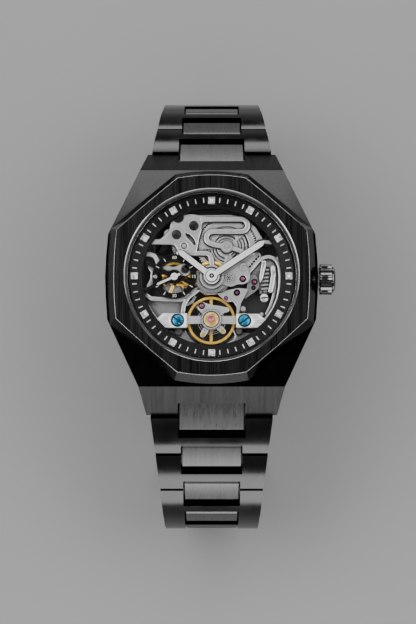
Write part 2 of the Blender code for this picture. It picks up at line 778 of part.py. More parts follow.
def make_hands():
    hand("hour_hand", 1.0, 1.5, 1.0, 8.5, 9.55, 9.8, HOUR_ANGLE)
    hand("minute_hand", 0.52, 1.1, 1.1, 12.65, 10.1, 10.35, MINUTE_ANGLE)
    hand("seconds_hand", 0.27, 0.7, 0.4, 3.8, 9.2, 9.4, SECONDS_ANGLE, SECONDS_AT, 1.2)


# Bracelet and clasp


def link_section(near, pitch):
    """The outline, in y and z, of a link's outer part."""
    thick, reach = LINK_HALF_THICKNESS, LINK_REACH
    start, end = near + 0.3, pitch + reach - 0.3
    middle, half = (start + end) / 2, (end - start) / 2
    outline = [(near, -0.6), (near, thick - 0.65)]
    for i in range(5):
        y = start + (end - start) * i / 4
        outline.append((y, thick - LINK_DOME * ((y - middle) / half) ** 2))
    outline += [(pitch + reach, thick - 0.65), (pitch + reach, -0.9), (pitch + reach - 0.8, -thick)]
    outline.append((near + 1.0, -thick))
    return outline


def nose(reach, low=-NOSE_RADIUS, high=NOSE_RADIUS):
    """The outline, in y and z, of a centre piece that is rounded about the pin at the origin."""
    return arc((0, 0), NOSE_RADIUS, 90, 270, 6) + [(reach, low), (reach, high)]


def link_mesh(number):
    """One link: its outer part, the centre piece that reaches back to its pin, and the pin."""
    near = LINK_NEAR + (FIRST_EXTRA if number == 0 else 0.0)
    pitch = LINK_PITCH + (FIRST_EXTRA if number == 0 else 0.0)
    start_width, end_width = LINK_WIDTHS[number : number + 2]
    length = pitch + LINK_REACH - near

    def half_width(y):
        return (start_width + (end_width - start_width) * (y - near) / length) / 2

    centre = CENTRE_WIDTHS[number] / 2
    notch = centre + NOTCH_GAP
    next_notch = CENTRE_WIDTHS[number + 1] / 2 + NOTCH_GAP
    web = near + NOTCH_DEPTH
    body = side_prism("link", link_section(near, pitch), half_width)
    bore = next_notch + BORE_INTO_ARM
    cut(
        body,
        box("near_notch", (-notch, near - 1.0, -3.0), (notch, web, 3.0)),
        box(
            "far_notch",
            (-next_notch, pitch - NOTCH_BACK, -3.0),
            (next_notch, pitch + 3.0, 3.0),
        ),
        rod("nose_bore", NOSE_BORE, (-next_notch, pitch, 0.0), (next_notch, pitch, 0.0), 24),
        rod("pin_bore", PIN_BORE, (-bore, pitch, 0.0), (bore, pitch, 0.0), PIN_FACETS),
    )
    pin = notch + PIN_INTO_ARM
    join(
        body,
        side_prism("centre", nose(near + CENTRE_REACH), lambda y: centre),
        box("web_step", (-notch - 0.4, near + 0.8, -1.3), (notch + 0.4, web + 0.4, -0.3)),
        rod("pin", PIN_RADIUS, (-pin, 0.0, 0.0), (pin, 0.0, 0.0), PIN_FACETS),
    )
    mesh = body.data
    bpy.data.objects.remove(body, do_unlink=True)
    mesh.name = f"link_{number + 1}"
    return mesh


def make_chain(hour, side, slopes, meshes):
    """Links hang one from another; the slope is how far each points below the horizontal."""
    parent = None
    for number, mesh in enumerate(meshes):
        link = add_object(f"link_{hour}_{number + 1}", mesh, BLACK_STEEL)
        if parent is None:
            half_turn = 180.0 if side < 0 else 0.0
            place(link, (0.0, side * PIVOT_Y, PIVOT_Z), (-slopes[0], 0.0, half_turn))
        else:
            pitch = LINK_PITCH + (FIRST_EXTRA if number == 1 else 0.0)
            bend = slopes[number] - slopes[number - 1]
            place(link, (0.0, pitch, 0.0), (-bend, 0.0, 0.0), parent)
        parent = link
    return parent


def make_clasp(last_link, last_slope):
    notch = CENTRE_WIDTHS[-1] / 2 + NOTCH_GAP
    pin = notch + PIN_INTO_ARM
    outer, inner = COVER_HALF_WIDTH, COVER_HALF_WIDTH - COVER_WALL
    leaf_pin = inner + 0.4
    cover = box(
        "clasp_cover", (-outer, COVER_START, COVER_RIM), (outer, COVER_END, COVER_FACE), BLACK_STEEL
    )
    cut(cover, box("tray", (-inner, COVER_START + 1.5, -3.0), (inner, COVER_END + 1.0, COVER_BASE)))
    join(
        cover,
        side_prism("cover_nose", nose(COVER_START + 0.8), lambda y: CENTRE_WIDTHS[-1] / 2),
        rod("cover_pin", PIN_RADIUS, (-pin, 0.0, 0.0), (pin, 0.0, 0.0), PIN_FACETS),
        rod("leaf_pin", PIN_RADIUS, (-leaf_pin, *LONG_HINGE), (leaf_pin, *LONG_HINGE), 12),
    )
    hole_y, hole_z = BUTTON_LENGTH / 2 + 0.2, BUTTON_HEIGHT / 2 + 0.2
    cut(
        cover,
        *[
            box(
                "button_hole",
                (side * 8.8 - 1.0, BUTTON_AT - hole_y, -hole_z),
                (side * 8.8 + 1.0, BUTTON_AT + hole_y, hole_z),
            )
            for side in (-1, 1)
        ],
        # The end of the folded short leaf swings out through this notch when the long leaf opens.
        box(
            "leaf_notch",
            (-NOTCH_HALF_WIDTH, LONG_HINGE[0] - NOTCH_BEHIND_PIN, COVER_BASE - 0.5),
            (NOTCH_HALF_WIDTH, COVER_END + 1.0, COVER_FACE + 0.5),
        ),
    )
    place(cover, (0.0, LINK_PITCH, 0.0), (last_slope - 180.0, 0.0, 0.0), last_link)

    # This chain starts from a half turn about the z axis, so its own -x is the watch's +X.
    for name, side in (("clasp_button_right", -1), ("clasp_button_left", 1)):
        half_y, half_z = BUTTON_LENGTH / 2, BUTTON_HEIGHT / 2
        low_x, high_x = sorted((side * 7.7, side * 9.9))
        button = box(name, (low_x, -half_y, -half_z), (high_x, half_y, half_z), GREY_STEEL)
        low_x, high_x = sorted((side * 7.5, side * 8.0))
        join(button, box("flange", (low_x, -2.7, -0.9), (high_x, 2.7, 0.9)))
        place(button, (0.0, BUTTON_AT, 0.0), parent=cover)
    make_leaves(cover)


def make_leaves(cover):
    """The long leaf folds out of the cover about its far pin, and the short leaf out of the long one."""
    length = LONG_HINGE[0] - SHORT_HINGE[0]
    drop = SHORT_HINGE[1] - LONG_HINGE[1]
    long_leaf = box("clasp_long_leaf", (-6.7, -length, -0.05), (6.7, 0.0, 0.6), GREY_STEEL)
    cut(long_leaf, box("leaf_gap", (-3.45, -length - 2.0, -2.0), (3.45, 1.25 - length, 2.0)))
    join(
        long_leaf,
        rod("leaf_barrel", 0.95, (-7.6, 0.0, 0.0), (7.6, 0.0, 0.0), 20),
        rod("left_knuckle", 0.8, (-6.1, -length, drop), (-3.5, -length, drop), 16),
        rod("right_knuckle", 0.8, (3.5, -length, drop), (6.1, -length, drop), 16),
        rod("short_pin", 0.35, (-5.0, -length, drop), (5.0, -length, drop), 12),
    )
    cut(long_leaf, rod("leaf_bore", PIN_BORE, (-9.0, 0.0, 0.0), (9.0, 0.0, 0.0), 12))
    place(long_leaf, (0.0, *LONG_HINGE), parent=cover)

    end = CLOSED_END - SHORT_HINGE[0]
    half = CENTRE_WIDTHS[-1] / 2
    low, high = -1.5 - SHORT_HINGE[1], -0.85 - SHORT_HINGE[1]
    short_leaf = box("clasp_short_leaf", (-half, 1.3, low), (half, end, high), GREY_STEEL)
    join(
        short_leaf,
        box("leaf_root", (-3.2, -0.3, low), (3.2, 2.0, high)),
        rod("short_barrel", 0.8, (-3.2, 0.0, 0.0), (3.2, 0.0, 0.0), 16),
        box("leaf_end", (-half, end - 1.3, -0.9), (half, end + 0.3, 1.2)),
    )
    cut(short_leaf, rod("short_bore", 0.48, (-5.0, 0.0, 0.0), (5.0, 0.0, 0.0), 12))
    place(short_leaf, (0.0, -length, drop), parent=long_leaf)


make_case()
make_chapter_ring()
make_case_back()
make_crown()
make_movement_frame()
make_bridges()
make_train()
make_hands()
link_meshes = [link_mesh(number) for number in range(len(SLOPES_12))]
make_chain(12, 1, SLOPES_12, link_meshes)
make_clasp(make_chain(6, -1, SLOPES_6, link_meshes), SLOPES_6[-1])
for part in PARTS.objects:
    shade(part)
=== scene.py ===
"""The looks of the skeleton wristwatch: surfaces, edges, stones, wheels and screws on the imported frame.

Sizes are millimetres in the watch's own frame and MM turns them into metres: +Z out through the
dial, +Y to 12 o'clock, +X to the crown. A bracelet link is made in its own frame, on its near pin.
"""

import math

import bmesh
import bpy
from mathutils import Matrix, Vector


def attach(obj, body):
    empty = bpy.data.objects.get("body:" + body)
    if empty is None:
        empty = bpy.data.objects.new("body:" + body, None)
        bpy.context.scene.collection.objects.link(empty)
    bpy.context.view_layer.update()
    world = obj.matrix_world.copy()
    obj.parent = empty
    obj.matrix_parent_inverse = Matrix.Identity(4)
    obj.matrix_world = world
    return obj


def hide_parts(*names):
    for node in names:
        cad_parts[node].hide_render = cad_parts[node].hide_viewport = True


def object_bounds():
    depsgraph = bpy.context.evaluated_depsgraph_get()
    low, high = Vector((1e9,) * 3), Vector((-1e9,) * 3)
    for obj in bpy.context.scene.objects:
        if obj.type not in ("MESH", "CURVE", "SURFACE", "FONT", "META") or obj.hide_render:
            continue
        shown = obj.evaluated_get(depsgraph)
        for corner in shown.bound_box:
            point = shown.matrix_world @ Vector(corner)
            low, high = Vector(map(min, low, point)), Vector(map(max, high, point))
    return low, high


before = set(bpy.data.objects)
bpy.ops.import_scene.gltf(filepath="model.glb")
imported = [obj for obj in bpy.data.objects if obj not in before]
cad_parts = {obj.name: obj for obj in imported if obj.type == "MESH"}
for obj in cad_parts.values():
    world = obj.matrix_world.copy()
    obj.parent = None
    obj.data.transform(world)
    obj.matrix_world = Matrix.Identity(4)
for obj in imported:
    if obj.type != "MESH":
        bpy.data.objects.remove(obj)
CAD_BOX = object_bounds()

MM = 0.001
FINE, ROUND, SMALL = 144, 64, 24
WELD = 0.000002

BARREL = (3.0, 6.1)
CROWN_WHEEL = (-5.5, 6.25)
THIRD = (-4.15, 1.0)
SECONDS = (-7.4, 0.0)
ESCAPE = (-5.74, -2.68)
BALANCE = (-0.1, -8.5)
MINUTE_WHEEL = (1.76, -1.48)
HOUR_ANGLE, MINUTE_ANGLE, SECONDS_ANGLE = 308.0, 56.5, 245.0
PIVOT_Y, PIVOT_Z = 24.1, 2.6
STEM_Z = 5.6
CASE_BORE, STEM_BORE = 16.55, 0.7
SLOPES_12 = (41, 46, 64, 82, 107, 132, 154, 175)
SLOPES_6 = (33, 36, 50, 74, 97, 120, 144, 168)
LINK_WIDTHS = (24.4, 22.6, 20.9, 19.9, 19.3, 18.9, 18.7, 18.7, 18.7)
CENTRE_WIDTHS = (13.0, 11.9, 11.1, 10.6, 10.4, 10.4, 10.4, 10.4, 10.4)
LINK_NEAR, LINK_PITCH, LINK_REACH, LUG_GAP = 1.7, 8.4, 1.4, 1.4
PIN_RADIUS, PIN_BORE, NOSE_RADIUS, NOSE_BORE, SIDE_GAP = 0.5, 0.62, 1.45, 1.65, 0.25


# Materials


def shader_of(name, colour, metallic, roughness):
    material = bpy.data.materials.new(name)
    material.use_nodes = True
    shader = material.node_tree.nodes["Principled BSDF"]
    shader.inputs["Base Color"].default_value = (*colour, 1.0)
    shader.inputs["Metallic"].default_value = metallic
    shader.inputs["Roughness"].default_value = roughness
    return material, shader


def add_node(material, kind, **values):
    node = material.node_tree.nodes.new(kind)
    for key, value in values.items():
        if key in node.inputs:
            node.inputs[key].default_value = value
        else:
            setattr(node, key, value)
    return node


def wire(material, start, end):
    material.node_tree.links.new(start, end)


def stretched_noise(material, scale, detail=4.0):
    """Noise in the object's own coordinates; scale is how many features a metre holds each way."""
    place = add_node(material, "ShaderNodeTexCoord")
    stretch = add_node(material, "ShaderNodeMapping")
    stretch.inputs["Scale"].default_value = scale
    noise = add_node(material, "ShaderNodeTexNoise", Scale=1.0, Detail=detail, Roughness=0.65)
    wire(material, place.outputs["Object"], stretch.inputs["Vector"])
    wire(material, stretch.outputs["Vector"], noise.inputs["Vector"])
    return noise.outputs["Fac"]


def ranged(material, value, low, high, start=0.3, end=0.7):
    node = add_node(material, "ShaderNodeMapRange")
    for key, number in (("From Min", start), ("From Max", end), ("To Min", low), ("To Max", high)):
        node.inputs[key].default_value = number
    wire(material, value, node.inputs["Value"])
    return node.outputs["Result"]


def tinted(material, shader, fac, dark, light, start=0.3, end=0.7):
    ramp = add_node(material, "ShaderNodeValToRGB")
    ramp.color_ramp.elements[0].position = start
    ramp.color_ramp.elements[1].position = end
    ramp.color_ramp.elements[0].color = (*dark, 1.0)
    ramp.color_ramp.elements[1].color = (*light, 1.0)
    wire(material, fac, ramp.inputs["Fac"])
    wire(material, ramp.outputs["Color"], shader.inputs["Base Color"])


def bumped(material, shader, height, strength, depth):
    bump = add_node(material, "ShaderNodeBump", Strength=strength, Distance=depth)
    wire(material, height, bump.inputs["Height"])
    wire(material, bump.outputs["Normal"], shader.inputs["Normal"])


def brushed(name, dark, light, roughness, grain, metallic=1.0, bump=0.35):
    """Metal with long fine strokes; the grain's smallest number is the way the strokes run."""
    material, shader = shader_of(name, light, metallic, roughness)
    fine = stretched_noise(material, grain)
    broad = stretched_noise(material, tuple(number * 0.16 for number in grain), 2.0)
    both = add_node(material, "ShaderNodeMath", operation="ADD")
    wire(material, fine, both.inputs[0])
    wire(material, broad, both.inputs[1])
    half = ranged(material, both.outputs[0], 0.0, 1.0, 0.7, 1.3)
    tinted(material, shader, half, dark, light, 0.0, 1.0)
    wire(material, ranged(material, fine, roughness - 0.08, roughness + 0.12), shader.inputs["Roughness"])
    bumped(material, shader, fine, bump, 0.00003)
    return material


def paint_corner_shade(material, shader, reach=0.9, depth=0.06):
    """Painted shade: darkens the colour in the narrow corners between plates, where shade falls."""
    corner = add_node(material, "ShaderNodeAmbientOcclusion", samples=8)
    corner.inputs["Distance"].default_value = reach * MM
    fade = ranged(material, corner.outputs["AO"], depth, 1.0, 0.35, 0.97)
    mix = add_node(material, "ShaderNodeMix", data_type="RGBA", blend_type="MULTIPLY")
    mix.inputs["Factor"].default_value = 1.0
    before = shader.inputs["Base Color"].links[0].from_socket
    wire(material, before, mix.inputs[6])
    wire(material, fade, mix.inputs[7])
    wire(material, mix.outputs[2], shader.inputs["Base Color"])


def polished(name, colour, roughness, metallic=1.0, spread=0.12, corners=False):
    """Polished metal with faint cloudy wear and hair scratches."""
    material, shader = shader_of(name, colour, metallic, roughness)
    cloud = stretched_noise(material, (260, 260, 260), 3.0)
    dark = tuple(channel * (1 - spread) for channel in colour)
    light = tuple(min(1.0, channel * (1 + spread)) for channel in colour)
    tinted(material, shader, cloud, dark, light)
    wire(material, ranged(material, cloud, roughness, roughness + 0.07), shader.inputs["Roughness"])
    bumped(material, shader, stretched_noise(material, (7000, 900, 7000), 2.0), 0.06, 0.00001)
    # With corners, painted shade darkens the colour in the narrow corners
    if corners:
        paint_corner_shade(material, shader)
    return material


def frosted(name, dark, light, roughness, metallic, grain=9000, bump=0.5):
    """Fine-blasted metal: an even sparkle with no direction, and painted shade in its narrow corners."""
    material, shader = shader_of(name, light, metallic, roughness)
    speckle = stretched_noise(material, (grain, grain, grain), 2.0)
    tinted(material, shader, speckle, dark, light)
    paint_corner_shade(material, shader)
    wire(material, ranged(material, speckle, roughness - 0.06, roughness + 0.1), shader.inputs["Roughness"])
    bumped(material, shader, speckle, bump, 0.00003)
    return material


def grey(value):
    return (value, value, value)


BEZEL_TOP = brushed("bezel_brushed_black", grey(0.004), grey(0.022), 0.3, (6500, 60, 6500), bump=0.2)
# Lighter and darker copies of one brushed black steel: painted light for the lug faces on the 6 side,
# painted shade for those on the 12 side
LUG_PAINTED_LIGHT = brushed("lug_brushed_painted_light", grey(0.028), grey(0.05), 0.34, (9500, 420, 420), bump=0.15)
LUG_PAINTED_SHADE = brushed("lug_brushed_painted_shade", grey(0.002), grey(0.01), 0.32, (5200, 420, 420))
# A lighter copy of the black steel: painted light on the flat ear tops on the 12 side
EAR_PAINTED_LIGHT = frosted("ear_satin_painted_light", grey(0.046), grey(0.052), 0.22, 1.0, 9000, 0.01)
# Copies of one satin black: painted light for the bezel's sides facing 6, dimmer painted light for those
# facing 9
FLARE_PAINTED_LIGHT = brushed("flare_satin_painted_light", grey(0.09), grey(0.1), 0.3, (5200, 400, 5200), bump=0.04)
FLARE_PAINTED_DIM_LIGHT = brushed("flare_satin_painted_dim_light", grey(0.012), grey(0.022), 0.28, (3000, 900, 3000), bump=0.05)
BLACK_POLISH = polished("black_polished_steel", grey(0.009), 0.1)
LINK_POLISH = polished("link_polished_black", grey(0.05), 0.12, 1.0, 0.06)
CENTRE_SATIN = brushed("centre_link_satin", grey(0.092), grey(0.11), 0.32, (9500, 500, 500), bump=0.06)
# Lighter copies of the black steel for rounded edges: partly polish, partly painted highlight, so the edges
# read as bright lines
EDGE_POLISH_AND_PAINTED_HIGHLIGHT = polished("polished_edge_painted_highlight", grey(0.28), 0.14)
EDGE_POLISH_AND_DIM_PAINTED_HIGHLIGHT = polished("polished_edge_dim_painted_highlight", grey(0.1), 0.16)
GREY_STEEL = brushed("clasp_grey_steel", grey(0.12), grey(0.26), 0.3, (4200, 90, 4200))
# The crown's dark chrome takes painted shade in its narrow corners
CHROME = polished("crown_dark_chrome", grey(0.15), 0.1, 1.0, 0.05, True)
RHODIUM = frosted("rhodium_plate", grey(0.29), grey(0.38), 0.4, 0.3)
# A lighter rhodium for chamfers, levers and small parts: partly polish, partly painted highlight, so the
# edges read as bright lines
RHODIUM_POLISH_AND_HIGHLIGHT = polished("rhodium_polish_painted_highlight", grey(0.6), 0.2, 0.5, 0.06, True)
# Darker copies of the rhodium: painted shade for lower and deeper levels
RHODIUM_SHADED = frosted("rhodium_low_painted_shade", grey(0.15), grey(0.21), 0.45, 0.4)
RHODIUM_DEEP_SHADED = frosted("rhodium_deep_painted_shade", grey(0.06), grey(0.11), 0.45, 0.5)
BRIDGE_SATIN = brushed("bridge_satin", grey(0.68), grey(0.86), 0.28, (260, 4200, 4200), 0.5, 0.12)
HAND_SILVER = polished("hand_silver", grey(0.98), 0.2, 0.1, 0.02)
GILT = brushed("gilt_brass", (0.42, 0.29, 0.08), (0.68, 0.5, 0.18), 0.26, (2600, 2600, 2600), 0.6, 0.08)
GILT_BRIGHT = polished("gilt_polished", (0.98, 0.56, 0.1), 0.22, 0.55)
CREAM_GILT = frosted("chaton_cream_gold", (0.7, 0.54, 0.22), (0.95, 0.86, 0.6), 0.38, 0.3, 2600)
SPRING = polished("spring_steel", grey(0.5), 0.26, 0.6)
BLUED = polished("blued_screw", (0.015, 0.19, 0.34), 0.24, 0.8, 0.03)
# Black steel for black screws and small parts, and also painted shade: under the hands, in screw slots, in
# the shock groove, round jewels and at the centre
BLACK_SCREW_AND_SHADE = polished("black_screw", grey(0.03), 0.2)
# Painted shade: near-black for hollows, wells, grooves, sinks and the floor seen deep in the movement
SHADE_BLACK = frosted("painted_shade_black", grey(0.002), grey(0.006), 0.6, 0.0, 3000, 0.2)
# Flat faces take the plate's rhodium, chamfers and sides the painted-highlight copy
PLATE = [RHODIUM, RHODIUM_POLISH_AND_HIGHLIGHT]
# Lower plates: flat faces take the painted-shade copy, chamfers and sides the plate's rhodium
PLATE_SHADED = [RHODIUM_SHADED, RHODIUM]
PLATE_BAR = [frosted("rhodium_bar", grey(0.3), grey(0.4), 0.42, 0.4), RHODIUM_POLISH_AND_HIGHLIGHT]


def make_lacquer():
    material, shader = shader_of("black_lacquer", grey(0.008), 0.0, 0.22)
    grain = stretched_noise(material, (1500, 1500, 1500), 3.0)
    tinted(material, shader, grain, grey(0.0008), grey(0.0025))
    wire(material, ranged(material, grain, 0.28, 0.4), shader.inputs["Roughness"])
    shader.inputs["Specular IOR Level"].default_value = 0.12
    return material


def make_print():
    material, shader = shader_of("white_print", grey(0.85), 0.0, 0.5)
    tinted(material, shader, stretched_noise(material, (6000, 6000, 6000)), grey(0.6), grey(0.75))
    return material


def make_stone():
    """Cut stones read as a scatter of bright and dark facets: painted reflections, as bright and dark cells
    in the colour.
    """
    material, shader = shader_of("cut_stone", grey(0.9), 0.3, 0.06)
    place = add_node(material, "ShaderNodeTexCoord")
    cells = add_node(material, "ShaderNodeTexVoronoi", Scale=3100.0)
    wire(material, place.outputs["Object"], cells.inputs["Vector"])
    split = add_node(material, "ShaderNodeSeparateColor")
    wire(material, cells.outputs["Color"], split.inputs["Color"])
    tinted(material, shader, split.outputs[0], grey(0.42), grey(1.0), 0.12, 0.34)
    bumped(material, shader, cells.outputs["Distance"], 0.9, 0.00025)
    return material


def make_ruby(name, dark, light):
    material, shader = shader_of(name, light, 0.0, 0.08)
    tinted(material, shader, stretched_noise(material, (2600, 2600, 2600)), dark, light)
    shader.inputs["Coat Weight"].default_value = 0.8
    return material


def make_glass(name, colour, alpha):
    material, shader = shader_of(name, colour, 0.0, 0.03)
    smear = stretched_noise(material, (120, 120, 120), 3.0)
    wire(material, ranged(material, smear, 0.02, 0.07), shader.inputs["Roughness"])
    wire(material, ranged(material, smear, alpha * 0.8, alpha * 1.2), shader.inputs["Alpha"])
    shader.inputs["IOR"].default_value = 1.77
    return material


def make_rubber():
    material, shader = shader_of("gasket_rubber", grey(0.02), 0.0, 0.7)
    grain = stretched_noise(material, (4000, 4000, 4000))
    tinted(material, shader, grain, grey(0.012), grey(0.03))
    bumped(material, shader, grain, 0.3, 0.00003)
    return material


LACQUER = make_lacquer()
PRINT = make_print()
STONE = make_stone()
RUBY = make_ruby("ruby", (0.35, 0.01, 0.14), (0.62, 0.03, 0.26))
RUBY_DEEP = make_ruby("ruby_deep", (0.08, 0.004, 0.035), (0.26, 0.02, 0.12))
GLASS = make_glass("sapphire_crystal", grey(0.01), 0.03)
# Painted shade: the back crystal is dark and nearly opaque, so the gaps in the movement read black
BACK_GLASS_SHADE = make_glass("back_crystal_painted_shade", grey(0.02), 0.8)
RUBBER = make_rubber()


# Meshes


def shift(x, y, z):
    return Matrix.Translation((x * MM, y * MM, z * MM))


def turned(degrees, axis="Z"):
    return Matrix.Rotation(math.radians(degrees), 4, axis)


def in_scene(name, data):
    obj = bpy.data.objects.new(name, data)
    bpy.context.scene.collection.objects.link(obj)
    return obj


def worked_out(obj, *helpers):
    """The mesh that a curve or a modifier makes; the objects themselves are removed."""
    bpy.context.view_layer.update()
    graph = bpy.context.evaluated_depsgraph_get()
    mesh = bpy.data.meshes.new_from_object(obj.evaluated_get(graph), depsgraph=graph)
    for used in (obj, *helpers):
        bpy.data.objects.remove(used, do_unlink=True)
    return mesh


def mesh_from(bm, smooth=32.0):
    """The bmesh, in millimetres, as a mesh in metres with its sharp edges marked."""
    bmesh.ops.recalc_face_normals(bm, faces=bm.faces)
    bmesh.ops.scale(bm, vec=(MM, MM, MM), verts=bm.verts)
    mesh = bpy.data.meshes.new("shape")
    bm.to_mesh(mesh)
    bm.free()
    mesh.shade_smooth()
    mesh.set_sharp_from_angle(angle=math.radians(smooth))
    return mesh


def lathe(profile, centre=(0.0, 0.0), ring=False, segments=ROUND):
    """A turned solid; the profile holds (radius, z) from the top down the outer side."""
    bm = bmesh.new()
    verts = [bm.verts.new((radius, 0.0, z)) for radius, z in profile]
    edges = [bm.edges.new(pair) for pair in zip(verts, verts[1:])]
    if ring:
        edges.append(bm.edges.new((verts[-1], verts[0])))
    bmesh.ops.spin(
        bm, geom=verts + edges, axis=(0, 0, 1), cent=(0, 0, 0), angle=2 * math.pi, steps=segments
    )
    bmesh.ops.remove_doubles(bm, verts=bm.verts, dist=0.0005)
    bmesh.ops.translate(bm, vec=(*centre, 0.0), verts=bm.verts)
    return mesh_from(bm)


def collar(outer, inner, low, high, centre=(0.0, 0.0), segments=ROUND):
    """A square-edged ring."""
    return lathe([(outer, high), (outer, low), (inner, low), (inner, high)], centre, True, segments)


def disc(centre, radius, low, high, chamfer=0.06, segments=ROUND):
    edge = min(chamfer, radius * 0.4)
    profile = [(0.0, high), (radius - edge, high), (radius, high - edge), (radius, low), (0.0, low)]
    return lathe(profile, centre, segments=segments)


def plate(outlines, low, high, chamfer):
    """A flat plate with holes: the first outline is its edge and the others lie inside it."""
    curve = bpy.data.curves.new("plate", "CURVE")
    curve.dimensions = "2D"
    curve.fill_mode = "BOTH"
    chamfer = min(chamfer, (high - low) * 0.45)
    curve.extrude = ((high - low) / 2 - chamfer) * MM
    curve.bevel_depth = chamfer * MM
    curve.bevel_resolution = 1
    curve.offset = -chamfer * MM
    for outline in outlines:
        spline = curve.splines.new("POLY")
        spline.points.add(len(outline) - 1)
        spline.use_cyclic_u = True
        for point, (x, y) in zip(spline.points, outline):
            point.co = (x * MM, y * MM, 0.0, 1.0)
    mesh = worked_out(in_scene("plate", curve))
    bm = bmesh.new()
    bm.from_mesh(mesh)
    bmesh.ops.remove_doubles(bm, verts=bm.verts, dist=WELD)
    bmesh.ops.translate(bm, vec=(0, 0, (low + high) / 2 * MM), verts=bm.verts)
    bmesh.ops.recalc_face_normals(bm, faces=bm.faces)
    bm.to_mesh(mesh)
    bm.free()
    mesh.shade_smooth()
    mesh.set_sharp_from_angle(angle=math.radians(20))
    for face in mesh.polygons:
        face.material_index = 0 if abs(face.normal.z) > 0.99 else 1
    return mesh


def strip(path, width, low, high, chamfer):
    """A flat bar of even width along a path."""
    return plate([ribbon(path, width)], low, high, chamfer)


def block(low, high, turn=0.0, bevel=0.04):
    """A box with softened edges, turned by degrees about its own middle."""
    low, high = Vector(low), Vector(high)
    middle, size = (low + high) / 2, high - low
    bm = bmesh.new()
    bmesh.ops.create_cube(bm, size=1.0, matrix=Matrix.Diagonal((*size, 1.0)))
    bmesh.ops.bevel(bm, geom=bm.edges, offset=bevel, segments=1, affect="EDGES", profile=0.5)
    bm.transform(Matrix.Translation(middle) @ turned(turn))
    return mesh_from(bm)


def joined(meshes):
    bm = bmesh.new()
    for mesh in meshes:
        bm.from_mesh(mesh)
    result = bpy.data.meshes.new("group")
    bm.to_mesh(result)
    bm.free()
    result.set_sharp_from_angle(angle=math.radians(32))
    return result


def piece(name, meshes, material, body="case", replaces=()):
    """Puts a finished piece in the scene, on the body that it moves with."""
    meshes = meshes if isinstance(meshes, list) else [meshes]
    mesh = meshes[0] if len(meshes) == 1 else joined(meshes)
    mesh.name = name
    materials = material if isinstance(material, list) else [material]
    if len(mesh.materials) == 0:
        for entry in materials:
            mesh.materials.append(entry)
        for face in mesh.polygons:
            face.material_index = min(face.material_index, len(materials) - 1)
    obj = in_scene(name, mesh)
    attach(obj, body)
    if replaces:
        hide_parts(*replaces)
    return obj


def softened(obj, width, segments=2, angle=32.0, edge_material=-1):
    """Rounds the edges of a piece so that they catch the light."""
    bevel = obj.modifiers.new("edges", "BEVEL")
    bevel.width = width * MM
    bevel.segments = segments
    bevel.limit_method = "ANGLE"
    bevel.angle_limit = math.radians(angle)
    bevel.harden_normals = True
    bevel.material = edge_material
    return obj


def flat_mesh(mesh):
    """Joins the coplanar triangles of a mesh, so that its edges can be softened."""
    bm = bmesh.new()
    bm.from_mesh(mesh)
    bmesh.ops.remove_doubles(bm, verts=bm.verts, dist=WELD)
    bmesh.ops.dissolve_limit(bm, angle_limit=math.radians(1.0), verts=bm.verts, edges=bm.edges)
    bm.to_mesh(mesh)
    bm.free()
    return mesh


def refined(node, body, material, width=0.08):
    """A copy of a CAD node with softened edges and a finish of its own."""
    mesh = flat_mesh(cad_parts[node].data.copy())
    mesh.materials.clear()
    mesh.shade_smooth()
    mesh.set_sharp_from_angle(angle=math.radians(35))
    return softened(piece(node + "_finished", mesh, material, body, (node,)), width)


def boolean(base, operation, tool):
    """The mesh of base after one exact Boolean with the tool mesh."""
    holder, helper = in_scene("holder", base), in_scene("holder", tool)
    step = holder.modifiers.new("step", "BOOLEAN")
    step.operation = operation
    step.object = helper
    return worked_out(holder, helper)


def prism(outline, low, high, top_scale=1.0):
    bm = bmesh.new()
    face = bm.faces.new([bm.verts.new((x, y, low)) for x, y in outline])
    drawn = bmesh.ops.extrude_face_region(bm, geom=[face])["geom"]
    for part in drawn:
        if isinstance(part, bmesh.types.BMVert):
            part.co = Vector((part.co.x * top_scale, part.co.y * top_scale, high))
    return mesh_from(bm)


def side_prism(outline, half_width):
    """The outline, in y and z, drawn out to both sides; half_width is a function of y."""
    bm = bmesh.new()
    face = bm.faces.new([bm.verts.new((-1.0, y, z)) for y, z in outline])
    drawn = bmesh.ops.extrude_face_region(bm, geom=[face])["geom"]
    for part in drawn:
        if isinstance(part, bmesh.types.BMVert):
            part.co.x = 1.0
    for vert in bm.verts:
        vert.co.x *= half_width(vert.co.y)
    return mesh_from(bm)


def rod(radius, start, end, segments=SMALL):
    start, end = Vector(start), Vector(end)
    turn = (end - start).to_track_quat("Z", "Y").to_matrix().to_4x4()
    place = Matrix.Translation((start + end) / 2) @ turn
    bm = bmesh.new()
    bmesh.ops.create_cone(
        bm, cap_ends=True, segments=segments, radius1=radius, radius2=radius,
        depth=(end - start).length, matrix=place,
    )
    return mesh_from(bm)


def cuboid(low, high):
    low, high = Vector(low), Vector(high)
    bm = bmesh.new()
    place = Matrix.Translation((low + high) / 2) @ Matrix.Diagonal((*(high - low), 1.0))
    bmesh.ops.create_cube(bm, size=1.0, matrix=place)
    return mesh_from(bm)


# Outlines


def arc(centre, radius, start, end, steps):
    angles = [math.radians(start + (end - start) * i / steps) for i in range(steps + 1)]
    return [(centre[0] + radius * math.cos(a), centre[1] + radius * math.sin(a)) for a in angles]


def circle(centre, radius, steps=40):
    return arc(centre, radius, 0, 360, steps)[:-1]


def fillet(points, radius, steps=3):
    """Rounds every corner of a closed outline."""
    rounded = []
    for i, point in enumerate(points):
        corner = Vector(point)
        before, after = Vector(points[i - 1]), Vector(points[(i + 1) % len(points)])
        reach = min(radius, (before - corner).length * 0.45, (after - corner).length * 0.45)
        start = corner + (before - corner).normalized() * reach
        end = corner + (after - corner).normalized() * reach
        for step in range(steps + 1):
            share = step / steps
            first, second = start.lerp(corner, share), corner.lerp(end, share)
            rounded.append(tuple(first.lerp(second, share)))
    return rounded


